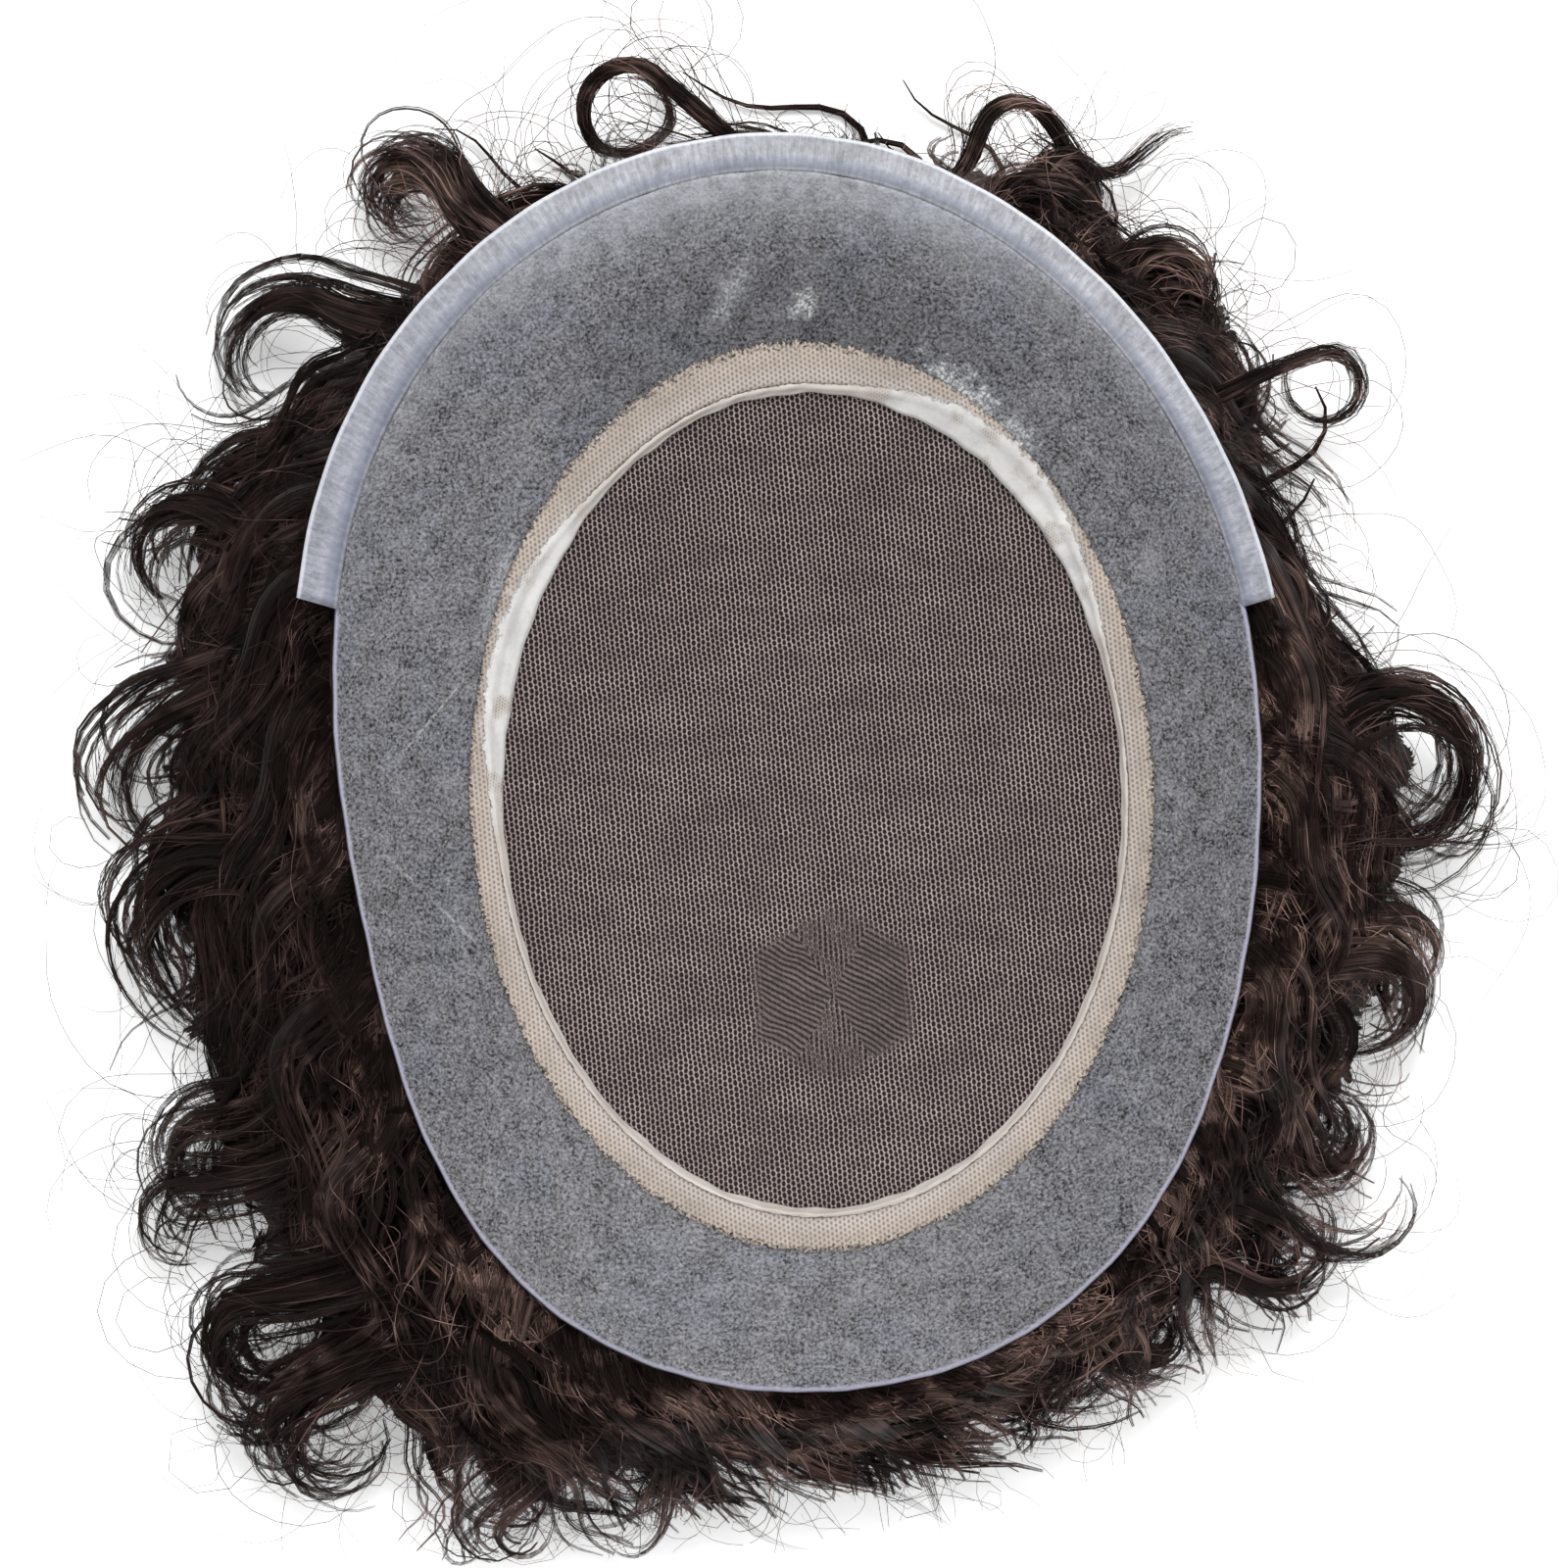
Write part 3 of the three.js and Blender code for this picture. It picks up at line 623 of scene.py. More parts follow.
def pick_locks(rng, quarter, count, own_share, spread):
    """Chooses a lock for each hair: own_share of them from the listed locks of the quarter, by length
    times width, and the rest from the fillers. Hair at the front keeps to the listed locks."""
    rows = quarter_rows(quarter)
    own_share = 0.85 if quarter == "hair_front" else own_share
    fillers = filler_rows(rng, quarter, FILLERS)
    weight = rows[:, 2] * np.sqrt(rows[:, 9])
    own = rng.random(count) < own_share
    index = np.where(
        own, rng.choice(len(rows), count, p=weight / weight.sum()),
        len(rows) + rng.integers(0, FILLERS, count))
    lock = lock_values(
        rng, np.concatenate([rows, fillers])[index], index, spread, np.where(own, 0.5, 0.1), 1.05)
    lock["limit"] = np.where(own, LIMITS[quarter], rng.uniform(0.85, 1.2, count))
    return lock


def hang(lock, radius):
    """Heights of a set of hairs: each lock's middle goes from its root, under the rim or on the body
    of hair, down to the table."""
    size = sizes()
    rim = size.seat + size.cup_depth
    depth = 0.6 * lock["half"]
    turn = np.radians(lock["angle"])
    root = bed_height(
        CENTRE[0] + size.half_width * np.cos(turn) * lock["root"],
        CENTRE[1] + size.half_length * np.sin(turn) * lock["root"])
    lock["top"] = np.minimum(rim - 0.0035 - depth, root + 0.004)
    lock["low"] = 0.0008 + depth * (1 - lock["narrowing"]) + 0 * lock["top"]
    lock["over"] = lock["level"] * 0.007
    lock["radius"] = radius
    return lock


def frizz(rng, lock, count, least, most):
    """Adds a small side wave to each hair, of between the least and the most angle."""
    lock["frizz"] = rng.uniform(least, most, count)
    lock["frizz_waves"] = rng.uniform(2.5, 5.5, count)
    lock["frizz_phase"] = rng.uniform(0, TURN, count)
    return lock


def add_node(tree, kind, values=None, **settings):
    """One node, with settings on the node and plain values on its inputs by name or number."""
    made = tree.nodes.new(kind)
    for key, value in settings.items():
        setattr(made, key, value)
    for key, value in (values or {}).items():
        made.inputs[key].default_value = value
    return made


def maths(tree, operation, first, second=None, third=None, clamp=False):
    """A Math node whose inputs are numbers or sockets. Returns its output."""
    made = tree.nodes.new("ShaderNodeMath")
    made.operation = operation
    made.use_clamp = clamp
    for socket, value in zip(made.inputs, (first, second, third)):
        if isinstance(value, bpy.types.NodeSocket):
            tree.links.new(value, socket)
        elif value is not None:
            socket.default_value = value
    return made.outputs[0]


def times(tree, first, second, clamp=False):
    """The product of two numbers or sockets."""
    return maths(tree, "MULTIPLY", first, second, clamp=clamp)


def plus(tree, first, second, clamp=False):
    """The sum of two numbers or sockets."""
    return maths(tree, "ADD", first, second, clamp=clamp)


def minus(tree, first, second, clamp=False):
    """The first number or socket less the second."""
    return maths(tree, "SUBTRACT", first, second, clamp=clamp)


def blend_colours(tree, factor, first, second, kind="MIX"):
    """A colour mix whose inputs are colours or sockets. Returns its output."""
    made = tree.nodes.new("ShaderNodeMix")
    made.data_type = "RGBA"
    made.blend_type = kind
    for socket, value in zip((made.inputs[0], made.inputs[6], made.inputs[7]), (factor, first, second)):
        if isinstance(value, bpy.types.NodeSocket):
            tree.links.new(value, socket)
        elif isinstance(value, (int, float)):
            socket.default_value = value
        else:
            socket.default_value = (*value[:3], 1.0)
    return made.outputs[2]


def map_range(tree, value, low, high, to_low=0.0, to_high=1.0):
    """A smooth step of a socket from one range to another."""
    made = tree.nodes.new("ShaderNodeMapRange")
    made.interpolation_type = "SMOOTHSTEP"
    tree.links.new(value, made.inputs["Value"])
    for key, number in zip(("From Min", "From Max", "To Min", "To Max"), (low, high, to_low, to_high)):
        made.inputs[key].default_value = number
    return made.outputs["Result"]


def noise_at(tree, vector, scale, detail, roughness=0.5):
    """The value of a noise texture at a vector."""
    made = add_node(
        tree, "ShaderNodeTexNoise", {"Scale": scale, "Detail": detail, "Roughness": roughness})
    tree.links.new(vector, made.inputs["Vector"])
    return made.outputs[0]


def new_group(name, inputs, outputs):
    """A shader node group with float, vector or colour sockets, and its input and output nodes."""
    tree = bpy.data.node_groups.new(name, "ShaderNodeTree")
    kinds = {"float": "NodeSocketFloat", "vector": "NodeSocketVector", "colour": "NodeSocketColor"}
    for label, kind in inputs:
        tree.interface.new_socket(label, in_out="INPUT", socket_type=kinds[kind])
    for label, kind in outputs:
        tree.interface.new_socket(label, in_out="OUTPUT", socket_type=kinds[kind])
    return tree, tree.nodes.new("NodeGroupInput"), tree.nodes.new("NodeGroupOutput")


def group(tree, name, values=None, vector=None):
    """Places a pattern's node group in a material, and builds the group first where there is none."""
    if name not in bpy.data.node_groups:
        PATTERNS[name](name)
    made = tree.nodes.new("ShaderNodeGroup")
    made.node_tree = bpy.data.node_groups[name]
    for key, value in (values or {}).items():
        made.inputs[key].default_value = value
    if vector is not None:
        tree.links.new(vector, made.inputs["Vector"])
    return made


def hexagon_net_group(name):
    """Six-sided net: the distance to the nearer of two points of a repeated cell, 1.732 by 1 pitches,
    is small in a hole and large on a thread. Holes are longer than wide: the distance is
    sqrt(1.35 u^2 + 0.78 v^2)."""
    tree, start, end = new_group(
        name,
        [("Vector", "vector"), ("Pitch across", "float"), ("Pitch along", "float"), ("Turn", "float"),
         ("Hole", "float"), ("Edge", "float")],
        [("Thread", "float"), ("Height", "float")])
    link = tree.links.new
    turned = add_node(tree, "ShaderNodeVectorRotate", rotation_type="Z_AXIS")
    link(start.outputs["Vector"], turned.inputs["Vector"])
    link(start.outputs["Turn"], turned.inputs["Angle"])
    parts = add_node(tree, "ShaderNodeSeparateXYZ")
    link(turned.outputs[0], parts.inputs[0])
    x = maths(tree, "DIVIDE", parts.outputs[0], start.outputs["Pitch across"])
    y = maths(tree, "DIVIDE", parts.outputs[1], start.outputs["Pitch along"])
    squares = []
    for shift_x, shift_y in ((0.0, 0.0), (0.866, 0.5)):
        u = minus(tree, maths(
            tree, "FLOORED_MODULO", plus(tree, x, shift_x), 1.732), 0.866)
        v = minus(tree, maths(
            tree, "FLOORED_MODULO", plus(tree, y, shift_y), 1.0), 0.5)
        squares.append(plus(
            tree, times(tree, times(tree, u, u), 1.35),
            times(tree, times(tree, v, v), 0.78)))
    distance = maths(tree, "SQRT", maths(tree, "MINIMUM", *squares))
    thread = add_node(tree, "ShaderNodeMapRange", interpolation_type="SMOOTHSTEP")
    link(distance, thread.inputs["Value"])
    link(start.outputs["Hole"], thread.inputs["From Min"])
    link(start.outputs["Edge"], thread.inputs["From Max"])
    link(thread.outputs[0], end.inputs["Thread"])
    link(times(tree, distance, 1.6), end.inputs["Height"])


def speckle_group(name):
    """Two noises of different fineness, added round zero: fine grains and soft clouds."""
    tree, start, end = new_group(
        name,
        [("Vector", "vector"), ("Grains", "float"), ("Clouds", "float"), ("Grain depth", "float"),
         ("Cloud depth", "float")],
        [("Value", "float")])
    link = tree.links.new
    fine = add_node(tree, "ShaderNodeTexNoise", {"Detail": 2.0, "Roughness": 0.7})
    soft = add_node(tree, "ShaderNodeTexNoise", {"Detail": 3.0, "Roughness": 0.6})
    for noise, scale in ((fine, "Grains"), (soft, "Clouds")):
        link(start.outputs["Vector"], noise.inputs["Vector"])
        link(start.outputs[scale], noise.inputs["Scale"])
    grains = times(
        tree, minus(tree, fine.outputs[0], 0.5), start.outputs["Grain depth"])
    clouds = times(
        tree, minus(tree, soft.outputs[0], 0.5), start.outputs["Cloud depth"])
    link(plus(tree, grains, clouds), end.inputs["Value"])


def scratch_group(name):
    """Mask of a thin straight scratch: one near the line from one point to another, fading with the
    distance to it, broken up by noise."""
    tree, start, end = new_group(
        name, [("Vector", "vector"), ("From", "vector"), ("To", "vector"), ("Width", "float")],
        [("Mask", "float")])
    link = tree.links.new

    def vector(operation, first, second=None):
        made = add_node(tree, "ShaderNodeVectorMath", operation=operation)
        link(first, made.inputs[0])
        if second is not None:
            link(second, made.inputs[1])
        return made

    flat = add_node(tree, "ShaderNodeVectorMath", {1: (1.0, 1.0, 0.0)}, operation="MULTIPLY")
    link(start.outputs["Vector"], flat.inputs[0])
    run = vector("SUBTRACT", start.outputs["To"], start.outputs["From"]).outputs[0]
    away = vector("SUBTRACT", flat.outputs[0], start.outputs["From"]).outputs[0]
    share = maths(
        tree, "DIVIDE", vector("DOT_PRODUCT", away, run).outputs["Value"],
        vector("DOT_PRODUCT", run, run).outputs["Value"], clamp=True)
    reached = add_node(tree, "ShaderNodeVectorMath", operation="SCALE")
    link(run, reached.inputs[0])
    link(share, reached.inputs["Scale"])
    off = vector("LENGTH", vector("SUBTRACT", away, reached.outputs[0]).outputs[0]).outputs["Value"]
    near = minus(tree, 1.0, maths(tree, "DIVIDE", off, start.outputs["Width"]), clamp=True)
    noise = noise_at(tree, start.outputs["Vector"], 900.0, 1.0)
    link(times(tree, near, map_range(tree, noise, 0.35, 0.6)), end.inputs["Mask"])


def smear_group(name):
    """Mask of a patchy smear: fades from the middle of an oval outwards, broken into flecks by noise."""
    tree, start, end = new_group(
        name, [("Vector", "vector"), ("Middle", "vector"), ("Half size", "vector"), ("Turn", "float"),
                  ("Patchiness", "float")],
        [("Mask", "float")])
    link = tree.links.new
    away = add_node(tree, "ShaderNodeVectorMath", operation="SUBTRACT")
    link(start.outputs["Vector"], away.inputs[0])
    link(start.outputs["Middle"], away.inputs[1])
    turned = add_node(tree, "ShaderNodeVectorRotate", rotation_type="Z_AXIS")
    link(away.outputs[0], turned.inputs["Vector"])
    link(start.outputs["Turn"], turned.inputs["Angle"])
    scaled = add_node(tree, "ShaderNodeVectorMath", operation="DIVIDE")
    link(turned.outputs[0], scaled.inputs[0])
    link(start.outputs["Half size"], scaled.inputs[1])
    flat = add_node(tree, "ShaderNodeVectorMath", {1: (1.0, 1.0, 0.0)}, operation="MULTIPLY")
    link(scaled.outputs[0], flat.inputs[0])
    length = add_node(tree, "ShaderNodeVectorMath", operation="LENGTH")
    link(flat.outputs[0], length.inputs[0])
    noise = noise_at(tree, start.outputs["Vector"], 420.0, 4.0, 0.65)
    rough = times(
        tree, minus(tree, noise, 0.5), start.outputs["Patchiness"])
    soft = map_range(tree, plus(tree, length.outputs["Value"], rough), 1.1, 0.25)
    flecks = noise_at(tree, start.outputs["Vector"], 1500.0, 3.0, 0.6)
    fleck = map_range(tree, flecks, 0.44, 0.60, 0.2, 1.0)
    link(times(tree, soft, fleck), end.inputs["Mask"])


def whorl_group(name):
    """Hatching of the crown whorl: inside a six-sided patch, fine rows, upright in front of and behind
    the middle and slanting beside it."""
    tree, start, end = new_group(
        name, [("Vector", "vector"), ("Middle", "vector"), ("Radius", "float"), ("Rows", "float")],
        [("Patch", "float"), ("Row", "float"), ("Beside", "float")])
    link = tree.links.new
    away = add_node(tree, "ShaderNodeVectorMath", operation="SUBTRACT")
    link(start.outputs["Vector"], away.inputs[0])
    link(start.outputs["Middle"], away.inputs[1])
    parts = add_node(tree, "ShaderNodeSeparateXYZ")
    link(away.outputs[0], parts.inputs[0])
    x, y = parts.outputs[0], parts.outputs[1]
    angle = maths(tree, "ARCTAN2", y, x)
    sixth = math.pi / 3
    middle = times(
        tree, maths(tree, "ROUND", maths(tree, "DIVIDE", angle, sixth)), sixth)
    radius = maths(tree, "SQRT", plus(
        tree, times(tree, x, x), times(tree, y, y)))
    flat = times(tree, radius, maths(tree, "COSINE", minus(tree, angle, middle)))
    beside = maths(tree, "GREATER_THAN", maths(tree, "ABSOLUTE", x), times(
        tree, maths(tree, "ABSOLUTE", y), 0.577))
    link(beside, end.inputs["Beside"])
    lean = times(tree, beside, 1.08)
    across = plus(tree, times(tree, x, maths(tree, "COSINE", lean)),
                   times(tree, y, maths(tree, "SINE", lean)))
    rows = maths(tree, "SINE", times(tree, across, start.outputs["Rows"]))
    link(maths(tree, "MULTIPLY_ADD", rows, 0.5, 0.5), end.inputs["Row"])
    patch = add_node(tree, "ShaderNodeMapRange", interpolation_type="SMOOTHSTEP")
    link(maths(tree, "DIVIDE", flat, start.outputs["Radius"]), patch.inputs["Value"])
    patch.inputs["From Min"].default_value = 1.08
    patch.inputs["From Max"].default_value = 0.86
    link(patch.outputs[0], end.inputs["Patch"])


PATTERNS = {
    "Hexagon net": hexagon_net_group,
    "Speckle": speckle_group,
    "Scratch": scratch_group,
    "Smear": smear_group,
    "Crown whorl": whorl_group,
}


def new_finish(name, roughness, specular=0.5):
    """A material with its shader, and the object coordinates that its pattern reads."""
    finish = bpy.data.materials.new(name)
    finish.use_nodes = True
    tree = finish.node_tree
    shader = tree.nodes["Principled BSDF"]
    shader.inputs["Roughness"].default_value = roughness
    shader.inputs["Specular IOR Level"].default_value = specular
    place = tree.nodes.new("ShaderNodeTexCoord").outputs["Object"]
    return finish, tree, shader, place


def add_bump(tree, shader, height, distance, strength=1.0):
    bump = add_node(tree, "ShaderNodeBump", {"Distance": distance, "Strength": strength})
    tree.links.new(height, bump.inputs["Height"])
    tree.links.new(bump.outputs[0], shader.inputs["Normal"])


def vertex_value(tree, name):
    return add_node(tree, "ShaderNodeAttribute", attribute_name=name).outputs["Fac"]


def brighten(tree, colour, amount):
    """The colour times one plus the amount, a number or a socket."""
    factor = plus(tree, amount, 1.0)
    scaled = add_node(tree, "ShaderNodeVectorMath", operation="SCALE")
    if isinstance(colour, bpy.types.NodeSocket):
        tree.links.new(colour, scaled.inputs[0])
    else:
        scaled.inputs[0].default_value = colour[:3]
    tree.links.new(factor, scaled.inputs["Scale"])
    return scaled.outputs[0]


def pulled(tree, place, scale, amount):
    """Places moved a little by noise, so that threads don't run quite true."""
    noise = add_node(tree, "ShaderNodeTexNoise", {"Scale": scale, "Detail": 1.0})
    tree.links.new(place, noise.inputs["Vector"])
    centred = add_node(tree, "ShaderNodeVectorMath", {1: (0.5, 0.5, 0.5)}, operation="SUBTRACT")
    tree.links.new(noise.outputs["Color"], centred.inputs[0])
    scaled = add_node(tree, "ShaderNodeVectorMath", {"Scale": amount}, operation="SCALE")
    tree.links.new(centred.outputs[0], scaled.inputs[0])
    moved = add_node(tree, "ShaderNodeVectorMath", operation="ADD")
    tree.links.new(place, moved.inputs[0])
    tree.links.new(scaled.outputs[0], moved.inputs[1])
    return moved.outputs[0]


def net_finish():
    """Brown thread net over dark holes, with unevenly lit threads and the hatched crown whorl."""
    look = finishes()
    finish, tree, shader, place = new_finish("Monofilament net", 0.75, 0.25)
    net = group(tree, "Hexagon net", {
        "Pitch across": 0.00108, "Pitch along": 0.00114, "Turn": math.radians(-4.5),
        "Hole": 0.32, "Edge": 0.52,
    }, pulled(tree, place, 260.0, 0.0007))
    cloud = group(tree, "Speckle", {
        "Grains": 1100.0, "Clouds": 70.0, "Grain depth": 1.5, "Cloud depth": 0.5}, place)
    whorl = group(tree, "Crown whorl", {
        "Middle": on_base(*WHORL_PLACE), "Radius": 0.0155, "Rows": 5800.0,
    }, pulled(tree, place, 160.0, 0.0016))
    thread = brighten(tree, look.thread, cloud.outputs["Value"])
    stretch = add_node(
        tree, "ShaderNodeMapping", {"Scale": (0.5, 1.6, 1.0), "Rotation": (0.0, 0.0, 0.25)})
    tree.links.new(place, stretch.inputs[0])
    under = noise_at(tree, stretch.outputs[0], 150.0, 4.0, 0.7)
    shadow = map_range(tree, under, 0.35, 0.65, 0.80, 1.08)
    thread = blend_colours(tree, 1.0, thread, shadow, "MULTIPLY")
    plain = blend_colours(tree, net.outputs["Thread"], look.hole, thread)
    hatch = blend_colours(
        tree, times(tree, whorl.outputs["Row"], 0.60), look.hole, thread)
    both = blend_colours(
        tree, maths(tree, "MULTIPLY_ADD", whorl.outputs["Beside"], -0.45, 0.55), hatch, plain)
    colour = blend_colours(tree, whorl.outputs["Patch"], plain, brighten(tree, both, -0.26))
    tree.links.new(colour, shader.inputs["Base Color"])
    add_bump(tree, shader, net.outputs["Thread"], 0.0002, 0.6)
    return finish


def skin_finish():
    """Grey film full of dark knots, clouded warm and cool, hazy towards the lip, with smears, scratches
    and a pale edge."""
    look = finishes()
    finish, tree, shader, place = new_finish("Knotted skin film", 0.42, 0.3)
    grain = group(tree, "Speckle", {
        "Grains": 1600.0, "Clouds": 210.0, "Grain depth": 5.2, "Cloud depth": 1.5}, place)
    colour = brighten(tree, look.skin, grain.outputs["Value"])
    tint = noise_at(tree, place, 55.0, 3.0, 0.6)
    warm = map_range(tree, tint, 0.42, 0.60)
    colour = blend_colours(tree, times(tree, warm, 0.35), colour, (1.0, 0.98, 0.86), "MULTIPLY")
    cool = map_range(tree, tint, 0.50, 0.34)
    colour = blend_colours(tree, times(tree, cool, 0.45), colour, (0.88, 0.93, 1.0), "MULTIPLY")
    colour = blend_colours(
        tree, times(tree, vertex_value(tree, "shade"), 0.45), colour, (0.35, 0.35, 0.36), "MULTIPLY")
    haze_noise = noise_at(tree, place, 260.0, 4.0, 0.65)
    haze = times(
        tree, vertex_value(tree, "haze"), map_range(tree, haze_noise, 0.25, 0.75, 0.35, 1.0))
    colour = blend_colours(tree, haze, colour, (0.50, 0.52, 0.57))
    for middle, half, turn, patchy, strength in SKIN_SMEARS:
        smear = group(tree, "Smear", {
            "Middle": on_base(*middle), "Half size": half, "Turn": turn, "Patchiness": patchy}, place)
        colour = blend_colours(
            tree, times(tree, smear.outputs["Mask"], strength), colour, (0.55, 0.56, 0.57))
    for begin, stop, width in SKIN_SCRATCHES:
        scratch = group(tree, "Scratch", {
            "From": on_base(*begin), "To": on_base(*stop), "Width": width}, place)
        colour = blend_colours(
            tree, times(tree, scratch.outputs["Mask"], 0.55), colour, (0.50, 0.50, 0.50))
    edge = map_range(tree, vertex_value(tree, "edge"), 0.2, 0.9)
    colour = blend_colours(tree, times(tree, edge, 0.7), colour, (0.42, 0.41, 0.52))
    tree.links.new(colour, shader.inputs["Base Color"])
    add_bump(tree, shader, grain.outputs["Value"], 0.00008, 0.5)
    return finish


def lip_finish():
    """Frosted clear film: creased round the strip, painted shade in its fold and ends, pale at the rim.
    """
    look = finishes()
    finish, tree, shader, place = new_finish("Frosted lip film", 0.38, 0.5)
    grain = group(tree, "Speckle", {
        "Grains": 900.0, "Clouds": 140.0, "Grain depth": 0.8, "Cloud depth": 0.9}, place)
    stretch = add_node(tree, "ShaderNodeMapping", {"Scale": (6.0, 0.8, 1.0), "Rotation": (0.0, 0.0, 0.3)})
    tree.links.new(tree.nodes.new("ShaderNodeUVMap").outputs[0], stretch.inputs[0])
    crease = noise_at(tree, stretch.outputs[0], 1.6, 4.0, 0.75)
    frost = map_range(tree, crease, 0.35, 0.68, -0.16, 0.26)
    colour = brighten(tree, look.lip, plus(tree, grain.outputs["Value"], frost))
    # Painted shade: a bluish grey band along the fold's crease.
    fold = times(
        tree, map_range(tree, vertex_value(tree, "across"), 0.04, 0.12),
        map_range(tree, vertex_value(tree, "across"), 0.52, 0.30))
    colour = blend_colours(tree, times(tree, fold, 0.55), colour, (0.17, 0.20, 0.27))
    colour = blend_colours(
        tree, times(tree, vertex_value(tree, "shade"), 0.70), colour, (0.42, 0.43, 0.52), "MULTIPLY")
    rim = map_range(tree, vertex_value(tree, "across"), 0.93, 0.99)
    colour = blend_colours(tree, times(tree, rim, 0.5), colour, (0.75, 0.77, 0.82))
    tree.links.new(colour, shader.inputs["Base Color"])
    add_bump(tree, shader, grain.outputs["Value"], 0.00015, 0.5)
    return finish


def binding_finish():
    """Cream net tape with a sheen along it, milky where the coat swells, its outer edge frayed."""
    look = finishes()
    finish, tree, shader, place = new_finish("Net tape", 0.8, 0.25)
    net = group(tree, "Hexagon net", {
        "Pitch across": 0.00098, "Pitch along": 0.00104, "Turn": math.radians(-4),
        "Hole": 0.16, "Edge": 0.44,
    }, place)
    cloud = group(tree, "Speckle", {
        "Grains": 900.0, "Clouds": 80.0, "Grain depth": 0.5, "Cloud depth": 0.8}, place)
    colour = brighten(tree, look.binding, cloud.outputs["Value"])
    sheen = minus(tree, 1.0, maths(tree, "ABSOLUTE", times(
        tree, minus(tree, vertex_value(tree, "across"), 0.25), 3.2)), clamp=True)
    colour = blend_colours(tree, times(tree, sheen, 0.55), colour, (0.52, 0.48, 0.47))
    dark = times(tree, minus(tree, 1.0, net.outputs["Thread"]), 0.75)
    colour = blend_colours(tree, dark, colour, (0.15, 0.12, 0.10))
    milk = group(tree, "Speckle", {
        "Grains": 650.0, "Clouds": 150.0, "Grain depth": 0.9, "Cloud depth": 1.6}, place)
    cover = map_range(tree, plus(
        tree, vertex_value(tree, "coated"), milk.outputs["Value"]), 0.40, 0.95, 0.0, 0.75)
    colour = blend_colours(tree, cover, colour, look.coat)
    fray = noise_at(tree, place, 1100.0, 3.0, 0.7)
    reach = minus(
        tree, maths(tree, "MULTIPLY_ADD", fray, 1.0, 0.46), vertex_value(tree, "across"))
    tree.links.new(map_range(tree, reach, 0.0, 0.10), shader.inputs["Alpha"])
    tree.links.new(colour, shader.inputs["Base Color"])
    add_bump(tree, shader, net.outputs["Height"], 0.00015, 0.5)
    return finish


def coat_finish():
    """Off-white coat, bare in patches where the tape's mesh shows, creamier where it is narrow, and
    frayed where it laps over the tape."""
    look = finishes()
    finish, tree, shader, place = new_finish("Cured seam coating", 0.35, 0.5)
    cloud = group(tree, "Speckle", {
        "Grains": 1100.0, "Clouds": 120.0, "Grain depth": 0.25, "Cloud depth": 0.5}, place)
    colour = brighten(tree, look.coat, cloud.outputs["Value"])
    net = group(tree, "Hexagon net", {
        "Pitch across": 0.00062, "Pitch along": 0.00066, "Turn": math.radians(8),
        "Hole": 0.16, "Edge": 0.40,
    }, place)
    patch = noise_at(tree, place, 130.0, 3.0, 0.6)
    bare = times(tree, map_range(tree, patch, 0.5, 0.68), 0.7)
    shown = times(tree, minus(tree, 1.0, net.outputs["Thread"]), bare)
    colour = blend_colours(tree, bare, colour, look.binding)
    colour = blend_colours(tree, shown, colour, (0.18, 0.15, 0.13))
    thin = times(tree, vertex_value(tree, "narrow"), 0.75)
    colour = blend_colours(tree, thin, colour, (0.46, 0.41, 0.375))
    tree.links.new(colour, shader.inputs["Base Color"])
    fray = noise_at(tree, place, 520.0, 4.0, 0.7)
    reach = minus(
        tree, maths(tree, "MULTIPLY_ADD", fray, 2.2, -0.38), vertex_value(tree, "lap"))
    tree.links.new(map_range(tree, reach, -0.05, 0.3), shader.inputs["Alpha"])
    add_bump(tree, shader, cloud.outputs["Value"], 0.0002, 0.6)
    return finish


